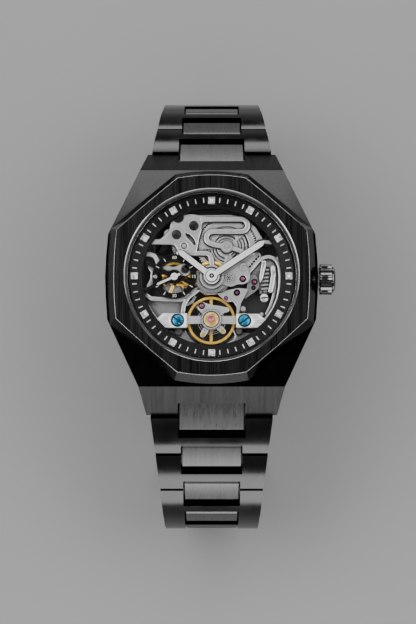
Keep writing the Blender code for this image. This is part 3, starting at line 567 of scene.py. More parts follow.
def ribbon(path, width):
    """The outline of a bar of even width along a path, with round ends."""
    points = [Vector(point) for point in path]
    left, right = [], []
    for i, point in enumerate(points):
        ahead = points[min(i + 1, len(points) - 1)] - points[max(i - 1, 0)]
        side = Vector((-ahead.y, ahead.x)).normalized() * width / 2
        left.append(tuple(point + side))
        right.append(tuple(point - side))
    first = math.degrees(math.atan2(*(points[1] - points[0]).yx))
    last = math.degrees(math.atan2(*(points[-1] - points[-2]).yx))
    end_cap = arc(path[-1], width / 2, last + 90, last - 90, 6)[1:-1]
    start_cap = arc(path[0], width / 2, first - 90, first - 270, 6)[1:-1]
    return left + end_cap + right[::-1] + start_cap


def gear(centre, teeth, root, tip):
    points = []
    for tooth in range(teeth):
        for share, radius in ((0.0, root), (0.18, tip), (0.45, tip), (0.63, root)):
            angle = 2 * math.pi * (tooth + share) / teeth
            points.append((centre[0] + radius * math.cos(angle), centre[1] + radius * math.sin(angle)))
    return points


def spokes(centre, count, inner, outer, width, turn=0.0):
    """The windows between a wheel's spokes."""
    windows = []
    for number in range(count):
        start, end = turn + 360 * number / count, turn + 360 * (number + 1) / count
        outer_half = math.degrees(width / 2 / outer)
        inner_half = math.degrees(width / 2 / inner)
        window = arc(centre, outer, start + outer_half, end - outer_half, 10)
        window += arc(centre, inner, end - inner_half, start + inner_half, 6)
        windows.append(fillet(window, 0.18, 2))
    return windows


def spiral(centre, inner, outer, turns, steps):
    count = int(turns * steps)
    points = []
    for i in range(count + 1):
        radius = inner + (outer - inner) * i / count
        angle = 2 * math.pi * i / steps
        points.append((centre[0] + radius * math.cos(angle), centre[1] + radius * math.sin(angle)))
    return points


def slotted_head(centre, radius, low, high, turn, slot=0.3):
    """A screw head: a disc whose upper half is parted by the slot."""
    middle = high - (high - low) * 0.45
    angle = math.degrees(math.asin(slot / 2 / radius))
    meshes = [disc(centre, radius, low, middle, 0.02, 40)]
    for side in (0, 180):
        half = arc(centre, radius, side + turn + angle, side + turn + 180 - angle, 20)
        meshes.append(plate([half], middle - 0.01, high, 0.06))
    return meshes


def jewel(centre, radius, top):
    """A pierced stone with its oil sink."""
    profile = [(0.0, top - 0.14), (radius * 0.22, top - 0.12), (radius * 0.62, top - 0.02)]
    profile += [(radius * 0.85, top), (radius, top - 0.05), (radius, top - 0.3), (0.0, top - 0.3)]
    return lathe(profile, centre, segments=32)


# Case


def bulged(start, end, bulge, steps=10):
    start, end = Vector(start), Vector(end)
    outward = Vector((end.y - start.y, start.x - end.x)).normalized()
    if outward.dot(start + end) < 0:
        outward.negate()
    points = []
    for i in range(steps):
        share = i / steps
        points.append(tuple(start.lerp(end, share) + outward * bulge * 4 * share * (1 - share)))
    return points


def bezel_outline(scale):
    end_x, end_y, side_x, side_y = 6.8, 19.35, 18.8, 8.9
    corners = [(end_x, end_y), (-end_x, end_y), (-side_x, side_y), (-side_x, -side_y)]
    corners += [(-end_x, -end_y), (end_x, -end_y), (side_x, -side_y), (side_x, side_y)]
    points = []
    for start, end, bulge in zip(corners, corners[1:] + corners[:1], [0.65, 0.15, 0.5, 0.15] * 2):
        points += bulged(start, end, bulge)
    return [(x * scale, y * scale) for x, y in points]


def paint_by_direction(mesh, materials, choose):
    """Gives each face the material that choose(normal, centre in mm) picks from the list."""
    mesh.materials.clear()
    for material in materials:
        mesh.materials.append(material)
    for face in mesh.polygons:
        face.material_index = choose(face.normal, face.center / MM)


def turning(profile):
    """A large turned ring about the watch's own middle."""
    return lathe(profile, ring=True, segments=FINE)


def drill(radius, low, high):
    return lathe([(0, high), (radius, high), (radius, low), (0, low)], segments=FINE)


def make_case():
    quadrant = [(21.1, 0.0), (20.95, 4.0), (20.6, 8.6), (14.4, 21.8), (13.05, 26.75)]
    right = [(x, -y) for x, y in reversed(quadrant) if y > 0] + quadrant
    outline = right + [(-x, y) for x, y in reversed(right)]
    half = [(8.6, 9.2), (21.8, 8.3), (26.75, 1.4), (26.2, 0.7), (21.0, 0.8), (19.0, 1.0)]
    section = half + [(-y, z) for y, z in reversed(half)]
    middle = prism(outline, 0.0, 9.25)
    middle = boolean(middle, "INTERSECT", side_prism(section, lambda y: 30.0))
    middle = boolean(middle, "DIFFERENCE", drill(CASE_BORE, 0, 10))
    middle = boolean(middle, "DIFFERENCE", rod(STEM_BORE, (15, 0, STEM_Z), (23, 0, STEM_Z)))
    width, pocket = CENTRE_WIDTHS[0] / 2 + SIDE_GAP, LINK_NEAR
    for side in (1, -1):
        pivot = Vector((0.0, side * PIVOT_Y, PIVOT_Z))
        across = Vector((width, 0.0, 0.0))
        middle = boolean(middle, "DIFFERENCE", rod(pocket, pivot - across, pivot + across, 40))
        for slope in (-4.0, 26.0, 52.0):
            opening = cuboid((-width, 0.0, -pocket), (width, 8.0, pocket))
            turn = turned(-slope, "X")
            if side < 0:
                turn = turned(180) @ turn
            opening.transform(Matrix.Translation(pivot * MM) @ turn)
            middle = boolean(middle, "DIFFERENCE", opening)
    middle = flat_mesh(middle)

    def choose(normal, centre):
        # Painted light: flat tops on the 12 side take the lighter copy, the others stay black polish
        if normal.z > 0.95:
            return 1 if centre.y > 8 else 0
        # Painted light and shade: sloped lug faces on the 6 side take the lighter copy, those on the 12 side
        # the darker one
        if normal.z > 0.3 and abs(normal.y) > 0.6 and abs(centre.y) > 21:
            return 2 if centre.y < 0 else 4
        return 0

    finishes = [BLACK_POLISH, EAR_PAINTED_LIGHT, LUG_PAINTED_LIGHT, EDGE_POLISH_AND_DIM_PAINTED_HIGHLIGHT, LUG_PAINTED_SHADE]
    paint_by_direction(middle, finishes, choose)
    case = piece("case_shell", middle, BLACK_POLISH, replaces=("case_middle",))
    # The rounded case edges take the dimmer painted-highlight copy
    softened(case, 0.16, 2, 32, 3)

    flare = 1.07
    bezel = prism(bezel_outline(flare), 9.4, 12.2, 1 / flare)
    bezel = boolean(bezel, "DIFFERENCE", drill(17.2, 10.7, 14))
    bezel = boolean(bezel, "DIFFERENCE", drill(16.6, 8, 14))
    bezel = flat_mesh(bezel)

    def choose_bezel(normal, centre):
        if normal.z > 0.95 and centre.z > 11:
            return 0
        if Vector(centre).xy.length < 17.4 or normal.z < -0.5:
            return 2
        # Painted light: sides facing 6 take the lighter copy, those facing 9 the dimmer copy, the rest black
        # polish
        if normal.y < -0.8:
            return 4
        return 1 if normal.x < -0.3 and normal.y < 0.3 else 2

    finishes = [BEZEL_TOP, FLARE_PAINTED_DIM_LIGHT, BLACK_POLISH, EDGE_POLISH_AND_PAINTED_HIGHLIGHT, FLARE_PAINTED_LIGHT]
    paint_by_direction(bezel, finishes, choose_bezel)
    shell = piece("bezel_octagon", bezel, BEZEL_TOP, replaces=("bezel",))
    # The rounded bezel edges take the brighter painted-highlight copy
    softened(shell, 0.1, 2, 40, 3)


def make_crystal():
    top, edge = 12.25, 0.3
    profile = [(0.0, top), (16.75 - edge, top), (16.75, top - edge), (16.75, 10.85), (0.0, 10.85)]
    piece("crystal_flat", lathe(profile, segments=FINE), GLASS, replaces=("crystal",))
    seal = [(17.1, 12.1), (17.14, 12.05), (17.14, 10.85), (16.78, 10.85), (16.78, 12.1)]
    piece("crystal_gasket_ring", turning(seal), RUBBER, replaces=("crystal_gasket",))
    # A thin rim round the crystal: partly polish, partly painted highlight
    rim = [(17.28, 12.25), (17.33, 12.2), (17.33, 12.1), (17.1, 12.1), (17.1, 12.17)]
    piece("crystal_rim", turning(rim), EDGE_POLISH_AND_PAINTED_HIGHLIGHT)


RING_FOOT, RING_LOW, RING_RUN, RING_RISE = 13.4, 9.45, 2.95, 0.65
TICK_RADIUS, STONE_RADIUS = 15.35, 15.3
SMALL_TRACK_RADIUS = 3.84


def ring_height(radius):
    """The height of the chapter ring's slope at a radius."""
    return RING_LOW + (radius - RING_FOOT) / RING_RUN * RING_RISE


def make_chapter_ring():
    profile = [(16.35, 10.75), (16.5, 10.75), (16.5, 9.05), (13.7, 9.05), (13.7, 9.42)]
    profile += [(13.8, ring_height(13.8)), (16.3, ring_height(16.3)), (16.35, 10.15)]
    piece("chapter_ring_black", turning(profile), LACQUER, replaces=("chapter_ring",))
    ticks, stones, seats = [], [], []
    slope = math.atan2(RING_RISE, RING_RUN)
    for minute in range(60):
        spin = turned(-6 * minute)
        if minute % 5:
            mesh = cuboid((-0.09, -0.45, 0.0), (0.09, 0.45, 0.05))
            tilt = Matrix.Rotation(slope, 4, "X")
            mesh.transform(spin @ shift(0, TICK_RADIUS, ring_height(TICK_RADIUS)) @ tilt)
            ticks.append(mesh)
        else:
            place = spin @ shift(0, STONE_RADIUS, ring_height(STONE_RADIUS))
            stones.append(cut_stone())
            stones[-1].transform(place)
            seat = block((-0.78, -0.78, -0.1), (0.78, 0.78, 0.1))
            seat.transform(place)
            seats.append(seat)
    piece("minute_ticks", ticks, PRINT)
    piece("hour_stones", stones, STONE)
    piece("stone_settings", seats, CHROME)


def cut_stone(side=1.36, height=0.42):
    """A square stone: a small table, four corner facets and sixteen girdle facets."""
    bm = bmesh.new()
    half = side / 2

    def loop(scale, z, turn, count=8):
        verts = []
        for i in range(count):
            angle = 2 * math.pi * i / count + turn
            reach = half * scale / max(abs(math.cos(angle)), abs(math.sin(angle)))
            verts.append(bm.verts.new((reach * math.cos(angle), reach * math.sin(angle), z)))
        return verts

    loops = [loop(1.0, 0.06, 0), loop(0.98, 0.16, 0), loop(0.72, height * 0.75, math.pi / 8)]
    loops.append(loop(0.42, height, 0))
    for lower, upper in zip(loops, loops[1:]):
        for i in range(8):
            after = (i + 1) % 8
            bm.faces.new((lower[i], lower[after], upper[i]))
            bm.faces.new((lower[after], upper[after], upper[i]))
    bm.faces.new(loops[-1])
    bm.faces.new(loops[0][::-1])
    return mesh_from(bm, 5.0)


def make_case_back():
    profile = [(16.2, 1.7), (16.2, 0.9), (17.9, 0.9), (17.9, 0.4), (17.5, 0.0), (12.4, 0.0), (12.4, 0.35)]
    profile += [(13.3, 0.35), (13.3, 1.7)]
    back = turning(profile)
    for number in range(6):
        slot = cuboid((-1.0, 16.6, -1.0), (1.0, 19.0, 0.6))
        slot.transform(turned(60 * number))
        back = boolean(back, "DIFFERENCE", slot)
    shell = piece("case_back_ring", flat_mesh(back), GREY_STEEL, replaces=("case_back",))
    softened(shell, 0.06)
    window = [(0.0, 1.5), (13.15, 1.5), (13.15, 0.4), (12.2, 0.4), (12.1, 0.0), (0.0, 0.0)]
    piece("back_window", lathe(window, segments=FINE), BACK_GLASS_SHADE, replaces=("back_crystal",))
    seal = [(17.5, 1.4), (17.4, 1.5), (17.05, 1.5), (16.95, 1.4), (16.95, 0.95), (17.5, 0.95)]
    piece("back_seal", turning(seal), RUBBER, replaces=("back_gasket",))


# One crown ridge: how far round its share of the rim, and the radius there
RIDGE = ((0.0, 2.78), (0.12, 2.98), (0.2, 3.08), (0.5, 3.08), (0.58, 2.98), (0.7, 2.78))


def make_crown():
    start, end = 21.35, 24.7
    length = end - start
    outline = []
    ridges = 18
    for number in range(ridges):
        for share, radius in RIDGE:
            angle = 2 * math.pi * (number + share) / ridges
            outline.append((radius * math.cos(angle), radius * math.sin(angle)))

    def on_stem(mesh, x):
        """Lays a shape made along +Z on the stem, from x outward."""
        mesh.transform(shift(x, 0, STEM_Z) @ turned(90, "Y"))
        return mesh

    body = plate([outline], 0.2, length - 0.7, 0.14)
    profile = [(0.0, length), (1.7, length - 0.02), (2.3, length - 0.16), (2.6, length - 0.45)]
    profile += [(2.62, length - 0.6), (2.4, length - 0.72), (2.4, 0.0), (0.0, 0.0)]
    ridged = [on_stem(mesh, start) for mesh in (body, lathe(profile))]
    piece("crown_ridged", ridged, CHROME, "crown", ("crown",))
    refined("winding_stem", "crown", SPRING, 0.03)
    pinion = [on_stem(plate([gear((0, 0), 14, 0.82, 1.05)], 0.0, 0.85, 0.04), x) for x in (9.5, 11.05)]
    pinion.append(on_stem(collar(0.75, 0.52, 0.0, 2.4, segments=32), 9.5))
    piece("sliding_pinion_toothed", pinion, SPRING, "crown", ("sliding_pinion",))
    refined("setting_lever", "setting_lever", RHODIUM_DEEP_SHADED, 0.06)


# Movement


def sector(centre, inner, outer, start, end, corner=0.2):
    """A window or plate between two radii and two angles."""
    steps = max(4, int(abs(end - start) / 7))
    return fillet(arc(centre, outer, start, end, steps) + arc(centre, inner, end, start, steps), corner, 2)


def make_plates():
    ring = collar(16.4, 14.85, 2.4, 8.4, segments=FINE)
    # Painted shade: the holding ring is near-black, as deep shade inside the case
    piece("holding_ring", ring, SHADE_BLACK, replaces=("movement_ring",))
    windows = (((9.3, 8.0), 2.0), ((-9.6, 7.2), 2.2), ((-10.3, -5.6), 2.2), ((-5.2, -11.4), 1.7))
    holes = [circle(at, size) for at, size in windows]
    base = plate([circle((0, 0), 14.6, 120), *holes], 3.9, 5.0, 0.15)
    # Painted shade: the mainplate's upper faces are near-black, its sides the deep painted-shade rhodium
    paint_by_direction(
        base, [SHADE_BLACK, RHODIUM, RHODIUM_DEEP_SHADED],
        lambda normal, centre: 0 if normal.z > 0.9 else 1 if normal.z < -0.9 else 2,
    )
    piece("mainplate_open", base, SHADE_BLACK, replaces=("mainplate",))
    refined("rotor_bridge", "case", RHODIUM)
    rotor_bow = arc((0, 0), 12.6, 180, 360, 60) + arc((0, 0), 2.2, 0, 180, 12)
    openings = [sector((0, 0), 3.4, 10.4, start, start + 50, 0.5) for start in (185, 245, 305)]
    rotor = [plate([rotor_bow, *openings], 1.9, 2.6, 0.1)]
    rim = arc((0, 0), 12.4, 182, 358, 60) + arc((0, 0), 11.0, 358, 182, 60)
    rotor.append(plate([rim], 2.55, 3.5, 0.12))
    piece("rotor_weight", rotor, BRIDGE_SATIN, "rotor", ("rotor",))
    make_left_plates()
    make_winding_plates()


def make_left_plates():
    """The fixed plate work left of the middle and around the balance."""
    panel = [(-12.9, -4.4), (-5.6, -4.4), (-5.5, -8.2), (-9.4, -8.2), (-11.0, -8.6), (-12.2, -6.8)]
    lens = [(-9.6, -10.4), (-4.6, -10.4), (-3.2, -12.3), (-1.4, -13.4), (-5.0, -13.1), (-7.9, -12.1)]
    foot = [(2.6, -12.2), (4.8, -10.9), (8.4, -10.8), (8.6, -11.4), (6.0, -13.2), (2.2, -13.9)]
    deep = [plate([fillet(outline, 0.3)], 5.6, 6.2, 0.12) for outline in (panel, lens, foot)]
    piece("frosted_panels", deep, PLATE_SHADED)
    vee = [
        ribbon([(-4.3, -12.0), (-2.4, -13.0), (-1.0, -14.0)], 0.6),
        ribbon([(4.2, -12.2), (2.2, -13.0), (0.9, -14.0)], 0.6),
        ribbon([(-5.1, -10.4), (-4.4, -11.6), (-2.6, -12.9)], 0.5),
    ]
    piece("vee_frame", [plate([way], 5.7, 6.3, 0.12) for way in vee], [RHODIUM_DEEP_SHADED, RHODIUM])
    rails = (
        ([(-13.9, -1.8), (-13.6, -3.4), (-12.9, -5.2), (-11.9, -7.0), (-10.6, -8.6)], 0.52, 7.5, 8.1),
        ([(-13.3, -2.6), (-12.9, -3.6), (-12.0, -4.2), (-9.0, -4.35), (-5.7, -4.4)], 0.85, 7.4, 8.0),
        ([(-13.6, 4.7), (-12.4, 4.75), (-11.4, 4.4), (-10.9, 3.6), (-10.6, 2.5)], 0.85, 7.5, 8.1),
        ([(-5.75, -7.3), (-5.5, -5.4), (-4.6, -3.9), (-3.2, -2.9), (-2.6, -2.3)], 0.8, 7.4, 7.9),
        ([(-12.3, 2.3), (-11.7, 1.2), (-11.8, -0.3), (-12.5, -1.7)], 0.9, 6.9, 7.5),
        ([(-4.0, -2.9), (-2.8, -2.2), (-1.9, -2.6), (-0.6, -3.1), (1.2, -3.0)], 0.7, 7.4, 7.9),
    )
    plates = [strip(way, width, low, high, 0.16) for way, width, low, high in rails]
    piece("plate_rails", plates, PLATE)
    posts = (
        ((-9.6, -3.1), 0.5, 6.4), ((-4.4, -9.7), 0.6, 6.4),
        ((5.4, -10.6), 0.7, 7.2), ((-6.6, -10.6), 0.8, 7.0),
    )
    small = [disc(at, radius, 5.0, high, 0.1, 24) for at, radius, high in posts]
    piece("deep_posts", small, RHODIUM_DEEP_SHADED)
    clip = strip([(4.3, -10.6), (4.75, -11.6), (4.4, -12.5), (3.5, -13.0)], 0.26, 7.5, 7.8, 0.06)
    piece("spring_clip", clip, RHODIUM_POLISH_AND_HIGHLIGHT)


def make_winding_plates():
    """The arch around the winding work, its levers, and the comb-like click beside the stem."""
    base = [(7.2, 0.6), (8.4, 2.0), (9.5, 3.1), (11.2, 4.0), (13.0, 3.4), (13.7, 0.6), (13.5, -2.4)]
    base += [(12.8, -5.4), (12.0, -5.2), (12.2, -2.6), (11.6, -3.0), (9.6, -3.2), (9.3, -1.2), (8.4, -0.6)]
    piece("keyless_plate", plate([fillet(base, 0.4)], 6.75, 7.15, 0.1), PLATE_SHADED)
    arch = [(7.2, 0.9), (8.2, 2.1), (9.3, 3.35), (10.2, 4.0), (11.3, 4.25), (12.3, 4.0), (13.1, 3.2)]
    arch += [(13.5, 2.0), (13.65, 0.2), (13.55, -2.0), (13.1, -4.3), (12.3, -6.2), (11.3, -7.7)]
    arch.append((10.4, -8.5))
    groove = [(7.9, 1.1), (8.7, 2.1), (9.6, 3.1), (10.4, 3.6), (11.3, 3.75), (12.1, 3.5), (12.75, 2.8)]
    groove += [(13.05, 1.8), (13.15, 0.2), (13.05, -1.9)]
    inner = [(12.5, 0.9), (12.6, -1.4), (12.3, -3.6), (11.7, -5.6), (10.9, -7.2)]
    bright = [strip(arch, 0.74, 7.35, 8.05, 0.2), strip(inner, 0.62, 6.9, 7.5, 0.14)]
    bright.append(plate([fillet([(12.4, 3.7), (13.2, 3.0), (13.5, 4.7)], 0.15)], 7.4, 8.0, 0.1))
    piece("keyless_arch", bright, PLATE)
    # Painted shade: a thin dark ribbon along the inner side of the arch
    piece("keyless_groove", strip(groove, 0.2, 7.1, 7.2, 0.02), SHADE_BLACK)
    blade = [(9.95, 3.35), (10.75, 3.35), (10.85, 2.6), (10.1, -0.3), (9.6, -1.2), (9.45, -0.2), (9.85, 2.4)]
    lever = plate([blade], 8.05, 8.4, 0.12)
    second = strip([(12.2, 2.0), (12.3, 0.6), (12.0, -1.2), (11.7, -2.6)], 0.95, 7.5, 8.0, 0.16)
    piece("keyless_lever", [lever, second], [RHODIUM_POLISH_AND_HIGHLIGHT, RHODIUM_POLISH_AND_HIGHLIGHT])
    eyes = [collar(0.34, 0.16, 8.36, 8.5, (10.35, 2.75), 24)]
    eyes.append(collar(0.38, 0.2, 7.98, 8.12, (12.35, 1.05), 24))
    piece("lever_eyes", eyes, SPRING)
    posts = [disc((6.2, -6.3), 0.55, 5.0, 8.1, 0.14, 32), disc((9.85, -7.45), 0.43, 5.0, 8.3, 0.14, 32)]
    posts.append(disc((6.2, -6.3), 0.24, 8.1, 8.25, 0.06, 24))
    piece("keyless_posts", posts, RHODIUM_POLISH_AND_HIGHLIGHT)
    comb = []
    for step in range(6):
        y, x = 1.55 - step * 0.75, 10.75 - 0.04 * step
        comb.append(block((x - 0.72, y - 0.21, 7.3), (x + 0.72, y + 0.21, 7.95), 4, bevel=0.12))
    comb.append(block((10.3, -2.9, 7.1), (11.0, 2.0, 7.4)))
    piece("click_comb", comb, RHODIUM_POLISH_AND_HIGHLIGHT)
    piece("keyless_screw", slotted_head((10.4, -4.1), 0.8, 7.3, 8.1, 5, 0.22), RHODIUM_POLISH_AND_HIGHLIGHT)
    # Painted shade: a dark sheet in the well under the comb
    well = [[(10.0, -3.0), (11.5, -3.0), (11.5, 2.3), (10.0, 2.3)]]
    piece("comb_well", plate(well, 7.16, 7.22, 0.02), SHADE_BLACK)
    hook = ribbon(arc((6.35, 2.0), 0.62, 60, 300, 12), 0.34)
    rack = [disc((9.3 - 0.42 * i, 4.2 - 0.5 * i), 0.2, 8.1, 8.3, 0.03, 12) for i in range(5)]
    piece("click_rack", rack, BLACK_SCREW_AND_SHADE)
    piece("click_hook", plate([hook], 8.74, 8.95, 0.08), RHODIUM_POLISH_AND_HIGHLIGHT)
    shelf = [(6.9, 0.9), (8.9, 3.2), (9.9, 4.3), (9.6, 5.0), (8.9, 5.3), (7.3, 3.7), (6.4, 2.4)]
    piece("click_shelf", plate([fillet(shelf, 0.4)], 7.7, 8.1, 0.12), PLATE)


def make_barrel_bridge():
    body = [(-6.2, 12.5), (-8.1, 11.4), (-8.45, 9.2), (-10.2, 7.6), (-12.7, 7.5), (-12.9, 6.6)]
    body += [(-7.5, 6.5), (-6.95, 5.8), (-6.7, 4.6), (-3.1, 4.6), (-2.75, 6.2), (-2.55, 7.6)]
    body += [(-2.1, 9.0), (-2.0, 10.2), (-1.9, 11.0), (-1.2, 11.1), (-1.2, 12.2), (-4.0, 12.7)]
    leaf = [(-5.3, 8.85), (-4.3, 8.5), (-3.5, 7.6), (-3.1, 6.5), (-3.45, 6.35), (-4.2, 7.2), (-4.9, 7.9)]
    bores = ((-3.56, 10.3), (-7.0, 8.5))
    holes = [circle(at, 0.95) for at in bores] + [circle(CROWN_WHEEL, 0.6), fillet(leaf, 0.2)]
    main = plate([fillet(body, 0.3, 3), *holes], 8.4, 9.0, 0.16)
    path = [(-1.9, 11.6), (1.0, 11.68), *arc((5.9, 10.42), 1.26, 90, -90, 14)]
    path += [(3.0, 9.16), *arc((0.2, 7.9), 1.26, 90, 235, 12), (0.5, 6.5), (1.9, 6.2)]
    bar = strip(path, 1.0, 8.42, 9.1, 0.2)
    hub = disc(BARREL, 1.25, 8.4, 9.1, 0.18)
    wing = strip([(3.0, 6.1), (4.8, 5.6), (6.2, 5.0)], 0.9, 8.42, 9.0, 0.16)
    arm = [(-6.6, 4.85), (-4.4, 4.8), *arc((-1.35, 3.55), 1.25, 90, 5, 8), (0.1, 2.5)]
    lower = strip(arm, 0.98, 8.42, 8.95, 0.2)
    right = strip([(8.7, 5.6), (10.3, 7.1), (12.9, 6.9)], 0.75, 8.4, 8.95, 0.18)
    meshes = [main, bar, hub, wing, lower, right, disc((-8.6, 8.8), 0.9, 5.05, 8.45, 0.05)]
    ledge = [(1.5, 9.06), (1.5, 8.95), (1.02, 8.95), (1.02, 9.06)]
    meshes += [lathe(ledge, at, True, 40) for at in bores]
    piece("barrel_bridge_open", meshes, PLATE, replaces=("barrel_bridge",))
    stud = [disc(BARREL, 0.56, 9.1, 9.28, 0.14), disc(BARREL, 0.26, 9.28, 9.36, 0.06)]
    outlines = [ribbon(path, 1.34), ribbon(arm, 1.3), ribbon([(3.0, 6.1), (4.8, 5.6), (6.4, 4.93)], 1.2)]
    outlines += [ribbon([(8.6, 5.45), (10.3, 7.1), (13.0, 6.9)], 1.1), circle(BARREL, 1.44)]
    under = [plate([outline], 8.3 - 0.01 * i, 8.385, 0.01) for i, outline in enumerate(outlines)]
    piece("barrel_bridge_shade", under, SHADE_BLACK)
    piece("barrel_hub_screw", stud, RHODIUM_POLISH_AND_HIGHLIGHT)
    screws = []
    for at, turn in zip(bores, (30, 75)):
        screws += slotted_head(at, 0.84, 8.35, 8.72, turn, 0.2)
    screws += [disc((-6.7, 12.0), 1.13, 8.6, 9.2, 0.1), disc((7.1, -13.0), 1.25, 6.4, 8.4, 0.1)]
    piece("black_screws", screws, BLACK_SCREW_AND_SHADE)
    pin = [disc(CROWN_WHEEL, 0.52, 8.32, 8.95, 0.14), disc(CROWN_WHEEL, 0.22, 8.95, 9.05, 0.05)]
    piece("crown_wheel_pin", pin, RHODIUM_POLISH_AND_HIGHLIGHT)
    # The plate around the ratchet wheel, level with it
    around = [(8.95, 7.5), (10.2, 7.7), (8.8, 10.1), (6.7, 12.1), (3.8, 12.7), (-3.8, 12.6), (-3.6, 9.0)]
    around += arc(BARREL, 6.12, 160, 13, 40)
    piece("ratchet_surround", plate([around], 7.8, 8.15, 0.06), PLATE)


def make_train_bridge():
    outline = [(1.5, -1.3), (1.7, 0.5), (2.4, 1.6), (4.0, 2.2), (5.4, 3.1), (6.5, 2.9), (7.3, 1.6)]
    outline += [(7.7, 0.2), (7.4, -0.9), (6.3, -1.5), (5.2, -1.4), (3.9, -2.0), (2.8, -1.7)]
    lobes = plate([fillet(outline, 0.6, 4), circle((6.17, -0.37), 0.66)], 8.28, 8.74, 0.16)
    piece("train_bridge_open", [lobes], PLATE, replaces=("train_bridge",))
    lower = [(1.0, -3.2), (2.8, -2.6), (5.2, -2.1), (7.3, -2.3), (6.5, -3.9), (5.8, -5.2), (5.4, -7.3)]
    lower += [(4.9, -7.3), (5.0, -6.0), (4.2, -4.8), (3.2, -5.0), (2.4, -4.6), (1.7, -3.8)]
    holes = [circle((5.0, -3.05), 0.66), circle((2.85, -4.2), 0.48)]
    piece("lower_train_plate", plate([fillet(lower, 0.35), *holes], 7.8, 8.2, 0.12), PLATE)
    side = [(7.4, 0.6), (8.8, 0.5), (9.5, -0.9), (9.2, -2.3), (8.4, -2.9), (7.4, -3.6), (6.5, -4.3)]
    side.append((6.9, -2.6))
    piece("side_train_plate", plate([fillet(side, 0.4)], 7.3, 7.65, 0.1), PLATE_SHADED)
    cap_at = (3.34, -0.2)
    rim = [(1.36, 8.86), (1.42, 8.78), (1.42, 8.6), (1.16, 8.6), (1.16, 8.78), (1.22, 8.86)]
    cap = [lathe(rim, cap_at, True, 48), disc(cap_at, 1.14, 8.5, 8.77, 0.05)]
    piece("train_cap", cap, RHODIUM)
    dots = [disc(cap_at, 0.16, 8.6, 8.8, 0.01, 12)]
    for count, radius in ((6, 0.36), (10, 0.76)):
        for at in circle(cap_at, radius, count):
            dots.append(disc(at, 0.13, 8.6, 8.8, 0.01, 10))
    piece("train_cap_dots", dots, BLACK_SCREW_AND_SHADE)
    spots = (
        ((6.17, -0.37), 0.4, 8.7), ((8.5, -0.85), 0.34, 7.9), ((5.0, -3.05), 0.3, 8.12),
        ((2.85, -4.2), 0.36, 8.0), ((-2.0, -5.75), 0.42, 8.5), ((8.3, -2.0), 0.2, 7.8),
    )
    piece("train_rubies", [jewel(at, radius, top) for at, radius, top in spots], RUBY_DEEP)
    # Painted shade: a dark ring round each jewel
    dark = [collar(radius + 0.24, radius, top - 0.3, top - 0.04, at, 32) for at, radius, top in spots]
    piece("jewel_settings", dark, BLACK_SCREW_AND_SHADE)


